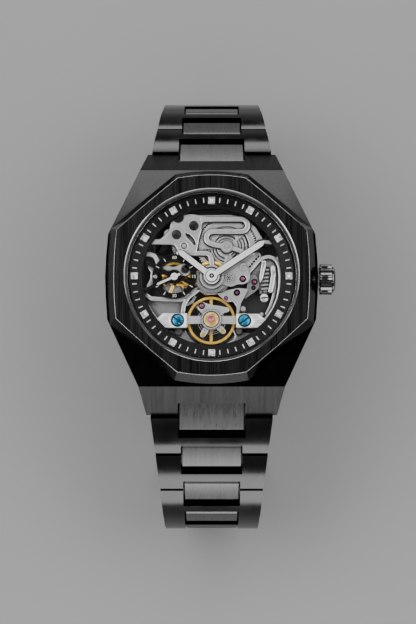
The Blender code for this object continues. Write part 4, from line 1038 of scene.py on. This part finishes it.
def make_wheels():
    drum = lathe(
        [(5.0, 7.6), (5.0, 6.3), (5.5, 6.3), (5.5, 6.0), (0.7, 6.0), (0.7, 6.3), (4.75, 6.3), (4.75, 7.6)],
        BARREL, True, 96,
    )
    piece("barrel_drum", [drum], RHODIUM_DEEP_SHADED, "barrel", ("barrel",))
    coil = strip(spiral(BARREL, 1.4, 4.6, 5, 40), 0.42, 6.45, 7.5, 0.08)
    piece("mainspring_coil", coil, SPRING, "barrel", ("mainspring",))
    # Inner radius, outer radius, start and end angle of each window in the ratchet wheel
    windows = ((3.6, 4.3, 60, 122), (1.65, 2.8, 44, 166), (2.3, 4.45, -8, 36), (2.0, 4.8, 186, 262))
    holes = [sector(BARREL, *window) for window in (*windows, (1.65, 3.3, 298, 337))]
    ratchet = plate([gear(BARREL, 76, 5.6, 5.95), *holes], 7.8, 8.2, 0.08)
    staff = [disc(BARREL, 1.1, 6.4, 8.1), disc(BARREL, 0.6, 8.1, 8.3)]
    piece("ratchet_open", [ratchet, *staff], PLATE, "ratchet", ("ratchet_wheel",))
    crown = [plate([gear(CROWN_WHEEL, 32, 2.2, 2.45)], 7.8, 8.2, 0.06), disc(CROWN_WHEEL, 0.5, 5.15, 8.3)]
    piece("crown_wheel_toothed", crown, PLATE_SHADED, "crown_wheel", ("crown_wheel",))

    hub = (0.0, 0.0)
    center = [plate([gear(hub, 64, 3.18, 3.4), *spokes(hub, 4, 1.2, 2.7, 0.5, 20)], 5.4, 5.7, 0.05)]
    center += [disc(hub, 1.1, 5.7, 6.4), disc(hub, 0.35, 5.1, 5.4)]
    piece("center_wheel_gilt", center, GILT, "center", ("center_wheel",))
    # Painted shade: the centre arbor is near-black, as the hole in the hands' collars
    piece("center_arbor", [disc(hub, 0.45, 6.4, 10.22, 0.04)], BLACK_SCREW_AND_SHADE, "center")
    piece("center_arbor_pin", disc(hub, 0.22, 10.2, 10.3, 0.06, 24), SPRING, "center")
    # The gilt crescent and the grey toothed ring lie on the plate, under the hands
    crescent = plate([arc(hub, 3.3, 32, 152, 30) + arc(hub, 2.72, 152, 32, 30)], 8.24, 8.36, 0.04)
    teeth = [block((2.9, -0.07, 8.26), (3.42, 0.07, 8.34), bevel=0.01) for _ in range(28)]
    for number, tooth in enumerate(teeth):
        tooth.transform(turned(34 + number * 4.3))
    piece("gilt_crescent", [crescent, *teeth], GILT_BRIGHT)
    rim = [plate([arc(hub, 3.1, 158, 322, 40) + arc(hub, 2.55, 322, 158, 40)], 8.55, 8.7, 0.03)]
    for number in range(38):
        tooth = block((2.95, -0.08, 8.56), (3.36, 0.08, 8.69), bevel=0.01)
        tooth.transform(turned(160 + number * 4.3))
        rim.append(tooth)
    piece("cannon_rim", rim, PLATE_SHADED)
    under = plate([circle(hub, 2.6, 64), circle(hub, 1.0, 40)], 7.5, 7.7, 0.04)
    piece("cannon_floor", under, RHODIUM_SHADED)

    third = [plate([gear(THIRD, 60, 2.5, 2.7), *spokes(THIRD, 4, 0.8, 2.2, 0.35, 10)], 6.4, 6.7, 0.05)]
    third += [disc(THIRD, 0.6, 5.3, 6.4), disc(THIRD, 0.25, 5.1, 7.4)]
    piece("third_wheel_gilt", third, GILT_BRIGHT, "third", ("third_wheel",))
    fourth = [plate([gear(SECONDS, 60, 2.4, 2.6), *spokes(SECONDS, 4, 0.8, 2.1, 0.55, 60)], 5.4, 5.7, 0.05)]
    fourth += [disc(SECONDS, 0.5, 6.2, 6.85), disc(SECONDS, 0.25, 5.1, 6.2)]
    piece("fourth_wheel_gilt", fourth, GILT_BRIGHT, "seconds", ("fourth_wheel",))
    piece("fourth_arbor", disc(SECONDS, 0.2, 6.8, 9.45, 0.05, 24), SPRING, "seconds")
    escape = [plate([gear(ESCAPE, 15, 1.2, 1.6), *spokes(ESCAPE, 4, 0.45, 1.0, 0.22)], 5.9, 6.15, 0.03)]
    escape += [disc(ESCAPE, 0.38, 5.25, 5.9), disc(ESCAPE, 0.2, 5.1, 7.3)]
    piece("escape_wheel_toothed", escape, SPRING, "escape", ("escape_wheel",))
    refined("pallet_fork", "pallet", SPRING, 0.03)

    hour = [plate([gear(hub, 40, 1.7, 1.85), circle(hub, 0.6)], 8.8, 9.05, 0.05)]
    hour.append(collar(0.9, 0.6, 9.05, 9.8, hub, 48))
    piece("hour_wheel_toothed", hour, PLATE, "hour", ("hour_wheel",))
    minute = [plate([gear(MINUTE_WHEEL, 30, 1.32, 1.5)], 8.22, 8.5, 0.04)]
    minute.append(disc(MINUTE_WHEEL, 0.35, 7.2, 8.7))
    piece("minute_wheel_toothed", minute, PLATE_SHADED, "minute_wheel", ("minute_wheel",))
    ring = [(2.4, 9.04), (2.34, 9.1), (2.0, 9.1), (1.95, 9.04), (1.95, 8.74), (2.4, 8.74)]
    piece("motion_rings", lathe(ring, hub, True, 96), RHODIUM_POLISH_AND_HIGHLIGHT)


def make_balance():
    x, y = BALANCE
    rim = [(4.75, 7.18), (4.8, 7.1), (4.8, 6.75), (4.7, 6.65), (4.35, 6.65), (4.25, 6.75), (4.25, 7.1)]
    rim.append((4.32, 7.18))
    wheel = [lathe(rim, BALANCE, True, 120)]
    wheel.append(block((x - 0.3, y - 4.4, 6.78), (x + 0.3, y + 4.4, 7.06)))
    wheel += [disc(BALANCE, 0.8, 6.7, 7.15), disc(BALANCE, 0.7, 5.95, 6.2), disc(BALANCE, 0.2, 5.1, 7.8)]
    wheel += [disc(at, 0.16, 6.9, 7.24, 0.04, 16) for at in circle(BALANCE, 4.55, 8)]
    piece("balance_gilt", wheel, GILT_BRIGHT, "balance", ("balance_wheel",))
    coil = strip(spiral(BALANCE, 0.9, 2.9, 5, 40), 0.09, 7.3, 7.55, 0.02)
    piece("hairspring_coil", coil, SPRING, "balance", ("hairspring",))
    # Painted shade: a dark wall and floor round the balance
    well = lathe([(5.25, 6.5), (5.25, 5.3), (5.1, 5.3), (5.1, 6.4)], BALANCE, True, 96)
    piece("balance_well", [well, disc(BALANCE, 5.2, 5.02, 5.09, 0.02, 96)], SHADE_BLACK)
    bow = [(-11.9, -7.3), (-10.7, -8.2), (-9.6, -7.2), (-4.8, -7.25), (-4.8, -10.15), (-9.5, -10.2)]
    bow.append((-10.9, -9.1))
    bow_right = [(4.8, -7.3), (9.3, -7.35), (10.4, -8.3), (11.2, -8.2), (10.4, -9.1), (9.2, -10.2)]
    bow_right.append((4.8, -10.15))
    screws = (((-6.75, -8.65), -38), ((6.5, -8.7), 38))
    tips = [plate([fillet(shape, 0.08, 2), circle(at, 1.3)], 7.9, 8.6, 0.12)
            for shape, (at, turn) in zip((bow, bow_right), screws)]
    feet = [block((side - 1.9, -9.9, 5.05), (side + 1.9, -7.5, 7.9)) for side in (-7.4, 7.4)]
    piece("balance_bridge_tips", [*tips, *feet], [BRIDGE_SATIN, RHODIUM_POLISH_AND_HIGHLIGHT], replaces=("balance_bridge",))
    # Painted shade: dark sinks round the blue screws
    floors = [disc(at, 1.32, 7.9, 8.12, 0.02) for at, _ in screws]
    piece("screw_sinks", floors, SHADE_BLACK)
    bar = [plate([[(-4.95, -7.8), (4.85, -7.8), (4.85, -9.35), (-4.95, -9.35)]], 7.95, 8.42, 0.06)]
    cock = [(-2.75, -5.5), (-2.2, -4.95), (-1.4, -5.1), (-0.2, -5.5), (1.6, -5.75), (3.4, -6.1)]
    cock += [(3.5, -6.9), (2.4, -7.2), (1.4, -8.2), (-1.6, -8.2), (-1.9, -7.2), (-2.7, -6.4)]
    arms = [plate([fillet(cock, 0.3), circle((-2.0, -5.75), 0.46, 24)], 7.92, 8.36, 0.12)]
    arms += [strip([(x, y), end], 1.1, 7.92, 8.3, 0.12) for end in ((-1.75, -11.5), (2.25, -10.8))]
    piece("balance_bridge_bar", [*bar, *arms], PLATE_BAR)
    shock = [(2.0, 8.62), (2.06, 8.5), (2.06, 8.3), (1.62, 8.3), (1.62, 8.66), (1.7, 8.8), (1.92, 8.8)]
    inner = [(0.95, 8.78), (1.0, 8.7), (1.0, 8.55), (0.6, 8.55), (0.66, 8.78)]
    piece("shock_collar", lathe(shock, BALANCE, True, 72), RHODIUM_POLISH_AND_HIGHLIGHT)
    # Painted shade: a dark disc that shows as the gap between chaton and collar
    groove = [(1.64, 8.4), (1.64, 8.3), (0.0, 8.3), (0.0, 8.4)]
    piece("shock_groove", lathe(groove, BALANCE, segments=48), BLACK_SCREW_AND_SHADE)
    cream = [(0.0, 8.62), (1.45, 8.62), (1.52, 8.54), (1.52, 8.32), (0.0, 8.32)]
    piece("chaton", lathe(cream, BALANCE, segments=48), CREAM_GILT)
    spring = [lathe(inner, BALANCE, True, 48)]
    for turn in (20, 140, 260):
        spring.append(strip(arc(BALANCE, 1.15, turn, turn + 60, 8), 0.2, 8.6, 8.72, 0.04))
    piece("shock_spring", spring, GILT_BRIGHT)
    piece("balance_ruby", jewel(BALANCE, 0.58, 8.86), RUBY)
    studs = [disc((-1.75, -11.5), 0.4, 8.2, 8.5, 0.1), disc((2.25, -10.8), 0.36, 8.2, 8.5, 0.1)]
    piece("gilt_studs", studs, GILT_BRIGHT)
    names = (("blue_screw_left", "bridge_screw_left"), ("blue_screw_right", "bridge_screw_right"))
    for (name, node), (at, turn) in zip(names, screws):
        meshes = slotted_head(at, 1.02, 8.15, 8.75, turn, 0.26) + [disc(at, 0.45, 6.1, 8.2)]
        piece(name, meshes, BLUED, replaces=(node,))
        # Painted shade: a dark floor in each screw slot
        low, high = (at[0] - 0.98, at[1] - 0.15, 8.47), (at[0] + 0.98, at[1] + 0.15, 8.52)
        slot = block(low, high, turn, bevel=0.01)
        piece(name + "_slot", slot, BLACK_SCREW_AND_SHADE)


def make_seconds_dial():
    track = lathe(
        [(4.36, 9.0), (4.4, 8.95), (4.4, 8.72), (3.3, 8.72), (3.3, 8.95), (3.34, 9.0)], SECONDS, True, 96
    )
    x, y = SECONDS
    paths = ([(x, y), (x - 3.0, y + 1.5), (-13.6, 3.4)], [(x, y), (x - 3.0, y - 1.3), (-13.5, -3.0)])
    arms = [strip(path, 0.85, 8.6, 8.85, 0.08) for path in paths]
    arms.append(strip([(x, y), (x + 3.8, y - 1.2)], 0.7, 8.6, 8.85, 0.08))
    boss = lathe([(1.4, 8.98), (1.46, 8.9), (1.46, 8.62), (0.5, 8.62), (0.5, 8.98)], SECONDS, True, 48)
    piece("seconds_ring_black", [track, *arms, boss], LACQUER, replaces=("seconds_dial",))
    ticks = []
    for number in range(12):
        if number % 3:
            mesh = cuboid((-0.07, -0.36, 0.0), (0.07, 0.36, 0.03))
            spin = turned(-30 * number)
            place = shift(x, y, 9.0)
            mesh.transform(place @ spin @ shift(0, SMALL_TRACK_RADIUS, 0))
            ticks.append(mesh)
    for text, angle in (("60", 0), ("15", 90), ("30", 180), ("45", 270)):
        turn = math.radians(angle)
        ticks.append(
            numeral(text, x + SMALL_TRACK_RADIUS * math.sin(turn), y + SMALL_TRACK_RADIUS * math.cos(turn))
        )
    piece("seconds_print", ticks, PRINT)
    cock = [(-9.9, 2.25), (-8.8, 2.4), (-7.6, 2.1), (-6.6, 2.5), (-5.4, 2.95), (-4.2, 2.4), (-3.95, 1.3)]
    cock += [(-4.6, 0.5), (-5.5, 0.3), (-6.3, 0.8), (-7.4, 1.3), (-8.8, 1.3), (-9.8, 1.8)]
    body = plate([fillet(cock, 0.4), circle((-5.3, 1.65), 0.86, 24)], 7.7, 8.15, 0.14)
    piece("seconds_cock", body, PLATE)
    screw = slotted_head((-5.3, 1.65), 0.78, 7.7, 8.1, 60, 0.2)
    piece("seconds_cock_screw", screw, BLACK_SCREW_AND_SHADE)
    fan = sector(SECONDS, 1.5, 3.1, 220, 300, 0.3)
    piece("seconds_sector", plate([fan], 7.2, 7.5, 0.08), PLATE_SHADED)
    gilt = [plate([arc(SECONDS, 3.2, 55, 132, 12) + arc(SECONDS, 2.75, 132, 55, 12)], 7.3, 7.6, 0.06)]
    for way, width in (
        ([(-7.7, -1.5), (-8.3, -3.2)], 0.62), ([(-6.8, -1.3), (-5.3, -1.7)], 0.5),
        ([(-9.7, 0.5), (-8.8, 0.3)], 0.5), ([(-5.6, -1.9), (-4.9, -1.3)], 0.4),
    ):
        gilt.append(strip(way, width, 7.5, 7.7, 0.05))
    piece("seconds_gilt", gilt, GILT_BRIGHT)


def numeral(text, x, y):
    curve = bpy.data.curves.new("numeral", "FONT")
    curve.body = text
    curve.size = 0.92 * MM
    curve.align_x = "CENTER"
    curve.align_y = "CENTER"
    curve.extrude = 0.012 * MM
    mesh = worked_out(in_scene("numeral", curve))
    mesh.transform(shift(x, y, 9.015))
    return mesh


def baton(width, start, length, low, edge, ridge):
    """A hand's blade along +Y: two long facets that meet in a ridge, and a pointed end."""
    half = width / 2
    bm = bmesh.new()
    shoulder = length - width * 0.8
    outline = [(-half, start), (half, start), (half, shoulder), (0.0, length), (-half, shoulder)]
    bottom = [bm.verts.new((x, y, low)) for x, y in outline]
    side = [bm.verts.new((x, y, edge)) for x, y in outline]
    near = bm.verts.new((0.0, start, ridge))
    far = bm.verts.new((0.0, shoulder, ridge))
    bm.faces.new(bottom[::-1])
    for i in range(5):
        after = (i + 1) % 5
        if i == 0:
            bm.faces.new((bottom[0], bottom[1], side[1], near, side[0]))
        else:
            bm.faces.new((bottom[i], bottom[after], side[after], side[i]))
    bm.faces.new((side[1], side[2], far, near))
    bm.faces.new((side[2], side[3], far))
    bm.faces.new((side[3], side[4], far))
    bm.faces.new((side[4], side[0], near, far))
    return mesh_from(bm, 5.0)


def make_hands():
    def ring(inner, outer, low, high):
        edge = 0.1
        profile = [(outer - edge, high), (outer, high - edge), (outer, low), (inner, low)]
        return lathe([*profile, (inner, high - edge / 2), (inner + edge / 2, high)], ring=True, segments=72)

    hands = (
        ("hour_hand_faceted", "hour_hand", "hour", HOUR_ANGLE, (0, 0),
         [ring(0.95, 1.55, 9.55, 9.85), baton(1.05, 1.3, 8.5, 9.55, 9.62, 9.92)]),
        ("minute_hand_faceted", "minute_hand", "center", MINUTE_ANGLE, (0, 0),
         [ring(0.5, 1.12, 10.1, 10.42), baton(1.1, 0.9, 12.65, 10.1, 10.17, 10.48)]),
        ("seconds_hand_white", "seconds_hand", "seconds", SECONDS_ANGLE, SECONDS,
         [ring(0.22, 0.72, 9.2, 9.46), baton(0.42, 0.5, 3.9, 9.22, 9.28, 9.4),
          baton(0.42, -1.25, -0.3, 9.22, 9.28, 9.4)]),
    )
    # A dark blade under each hand gives it the outline of its shadow
    shades = {
        "hour": [baton(1.36, 1.2, 8.66, 9.47, 9.5, 9.53), ring(0.95, 1.7, 9.47, 9.53)],
        "center": [baton(1.38, 0.9, 12.8, 10.02, 10.05, 10.08), ring(0.5, 1.28, 10.02, 10.08)],
        "seconds": [baton(0.72, 0.4, 4.05, 9.14, 9.17, 9.2), ring(0.22, 0.9, 9.14, 9.2)],
    }
    for name, node, body, angle, centre, meshes in hands:
        turn = turned(-angle)
        for mesh in shades[body] + meshes:
            mesh.transform(shift(*centre, 0) @ turn)
        piece(node + "_shade", shades[body], BLACK_SCREW_AND_SHADE, body)
        piece(name, meshes, HAND_SILVER, body, (node,))


# Bracelet and clasp


def link_section(near, pitch, steps=12):
    thick, reach, dome = 1.6, LINK_REACH, 0.35
    start, end = near + 0.15, pitch + reach - 0.15
    middle, half = (start + end) / 2, (end - start) / 2
    outline = [(near, -0.6), (near, thick - 0.75)]
    for i in range(steps + 1):
        y = start + (end - start) * i / steps
        outline.append((y, thick - dome * abs((y - middle) / half) ** 2.2))
    outline += [(pitch + reach, thick - 0.75), (pitch + reach, -0.9), (pitch + reach - 0.8, -thick)]
    outline.append((near + 1.0, -thick))
    return outline


def link_meshes(number):
    """The outer part of a link, and its centre piece with the pin, in the link's own frame."""
    longer = LUG_GAP if number == 0 else 0.0
    near, pitch = LINK_NEAR + longer, LINK_PITCH + longer
    start_width, end_width = LINK_WIDTHS[number : number + 2]
    length = pitch + LINK_REACH - near

    def half_width(y):
        return (start_width + (end_width - start_width) * (y - near) / length) / 2

    centre = CENTRE_WIDTHS[number] / 2
    notch, next_notch = centre + SIDE_GAP, CENTRE_WIDTHS[number + 1] / 2 + SIDE_GAP
    web = near + 4.3
    body = side_prism(link_section(near, pitch), half_width)
    for tool in (
        cuboid((-notch, near - 1.0, -3.0), (notch, web, 3.0)),
        cuboid((-next_notch, pitch - 0.65, -3.0), (next_notch, pitch + 3.0, 3.0)),
        rod(NOSE_BORE, (-next_notch, pitch, 0.0), (next_notch, pitch, 0.0), 48),
        rod(PIN_BORE, (-next_notch - 2.45, pitch, 0.0), (next_notch + 2.45, pitch, 0.0), 16),
    ):
        body = boolean(body, "DIFFERENCE", tool)
    body = boolean(body, "UNION", cuboid((-notch - 0.4, near + 0.8, -1.3), (notch + 0.4, web + 0.4, -0.3)))
    radius, reach = NOSE_RADIUS, near + 2.65
    nose = arc((0, 0), radius, 90, 270, 20) + [(reach * 0.5, -radius), (reach, -radius)]
    nose += [(reach, radius - 0.12), (reach * 0.6, radius - 0.02)]
    pin = rod(PIN_RADIUS, (-notch - 2.2, 0, 0), (notch + 2.2, 0, 0), 20)
    middle = boolean(side_prism(nose, lambda y: centre), "UNION", pin)
    return flat_mesh(body), flat_mesh(middle)


def link_poses(side, slopes):
    place = shift(0, side * PIVOT_Y, PIVOT_Z)
    if side < 0:
        place = place @ turned(180)
    poses = []
    last = 0
    for number, slope in enumerate(slopes):
        if number:
            place = place @ shift(0, LINK_PITCH + (LUG_GAP if number == 1 else 0.0), 0)
        place = place @ turned(last - slope, "X")
        poses.append(place.copy())
        last = slope
    return poses


def make_bracelet():
    meshes = [link_meshes(number) for number in range(8)]
    for pair in meshes:
        for mesh, finish in zip(pair, (LINK_POLISH, CENTRE_SATIN)):
            mesh.materials.clear()
            mesh.materials.append(finish)
            mesh.materials.append(EDGE_POLISH_AND_DIM_PAINTED_HIGHLIGHT)
    for hour, side, slopes in ((12, 1, SLOPES_12), (6, -1, SLOPES_6)):
        for number, pose in enumerate(link_poses(side, slopes)):
            body = f"link_{hour}_{number + 1}"
            outer, middle = (mesh.copy() for mesh in meshes[number])
            outer.transform(pose)
            middle.transform(pose)
            shell = piece(body + "_outer", outer, LINK_POLISH, body, (body,))
            softened(shell, 0.2, 3, 35, 0)
            core = piece(body + "_centre", middle, CENTRE_SATIN, body)
            softened(core, 0.16, 3, 35, 1)


def make_clasp():
    refined("clasp_cover", "clasp_cover", LINK_POLISH, 0.25)
    refined("clasp_long_leaf", "clasp_long_leaf", GREY_STEEL, 0.1)
    refined("clasp_short_leaf", "clasp_short_leaf", GREY_STEEL, 0.1)
    refined("clasp_button_left", "clasp_button_left", CHROME, 0.15)
    refined("clasp_button_right", "clasp_button_right", CHROME, 0.15)


# Stage

# Name, compass angle (0 at the crown, 90 at 12), elevation, distance, width, height, radiance
SOFTBOXES = (
    ("key_high", 97, 60, 0.42, 0.5, 0.15, 3.4),
    ("front_high", 270, 57, 0.42, 0.5, 0.1, 1.8),
    ("front_low", 270, 5, 0.24, 0.34, 0.1, 5.2),
    ("rear_low", 90, 5, 0.24, 0.34, 0.06, 4.6),
    ("left_fill", 180, 62, 0.42, 0.26, 0.2, 5.8),
    ("right_fill", 0, 62, 0.42, 0.26, 0.2, 5.0),
)
WORLD_STRENGTH = 0.16
FLOOR_HALF = 3.0
FLOOR_GAP = 0.00005
POOL_START, POOL_END = 0.11, 0.17


def make_stage():
    bm = bmesh.new()
    bmesh.ops.create_grid(bm, x_segments=8, y_segments=8, size=FLOOR_HALF)
    mesh = bpy.data.meshes.new("floor")
    bm.to_mesh(mesh)
    bm.free()
    floor = in_scene("floor", mesh)
    floor.location.z = CAD_BOX[0].z - FLOOR_GAP
    material, shader = shader_of("pale_floor", grey(0.36), 0.0, 0.8)
    # A painted pool of light: pale round the watch and darker farther out, so that the sides and the low
    # links reflect little
    place = add_node(material, "ShaderNodeNewGeometry")
    away = add_node(material, "ShaderNodeVectorMath", operation="LENGTH")
    wire(material, place.outputs["Position"], away.inputs["Vector"])
    cloud = stretched_noise(material, (14, 14, 14))
    edge = add_node(material, "ShaderNodeMath", operation="MULTIPLY_ADD")
    edge.inputs[1].default_value = 0.004
    wire(material, cloud, edge.inputs[0])
    wire(material, away.outputs["Value"], edge.inputs[2])
    tinted(material, shader, edge.outputs["Value"], grey(0.27), grey(0.1), POOL_START, POOL_END)
    mesh.materials.append(material)

    world = bpy.data.worlds.new("studio")
    bpy.context.scene.world = world
    world.use_nodes = True
    back = world.node_tree.nodes["Background"]
    back.inputs["Color"].default_value = (0.97, 0.98, 1.0, 1.0)
    back.inputs["Strength"].default_value = WORLD_STRENGTH

    def softbox(name, side, elevation, distance, width, height, radiance):
        """A rectangular light that faces the watch."""
        turn, rise = math.radians(side), math.radians(elevation)
        away = Vector((math.cos(turn) * math.cos(rise), math.sin(turn) * math.cos(rise), math.sin(rise)))
        light = bpy.data.lights.new(name, "AREA")
        light.shape = "RECTANGLE"
        light.size, light.size_y = width, height
        light.energy = radiance * math.pi * width * height
        obj = in_scene(name, light)
        obj.location = away * distance
        obj.rotation_euler = away.to_track_quat("Z", "Y").to_euler()

    for box in SOFTBOXES:
        softbox(*box)


def make_camera():
    """Ten degrees off straight above, on the 6 o'clock side."""
    distance, elevation = 0.35, math.radians(80)
    target = Vector((0.0, 0.0, 0.009))
    place = target + Vector((0.0, -math.cos(elevation), math.sin(elevation))) * distance
    camera = bpy.data.cameras.new("camera")
    camera.sensor_fit = "VERTICAL"
    camera.sensor_height = 36.0
    camera.lens = 101.9
    camera.shift_x, camera.shift_y = -0.0059, -0.0566
    obj = in_scene("camera", camera)
    obj.location = place
    obj.rotation_euler = (target - place).to_track_quat("-Z", "Y").to_euler()
    bpy.context.scene.camera = obj


make_camera()
make_case()
make_crystal()
make_chapter_ring()
make_case_back()
make_crown()
make_plates()
make_barrel_bridge()
make_train_bridge()
make_wheels()
make_balance()
make_seconds_dial()
make_hands()
make_bracelet()
make_clasp()
make_stage()
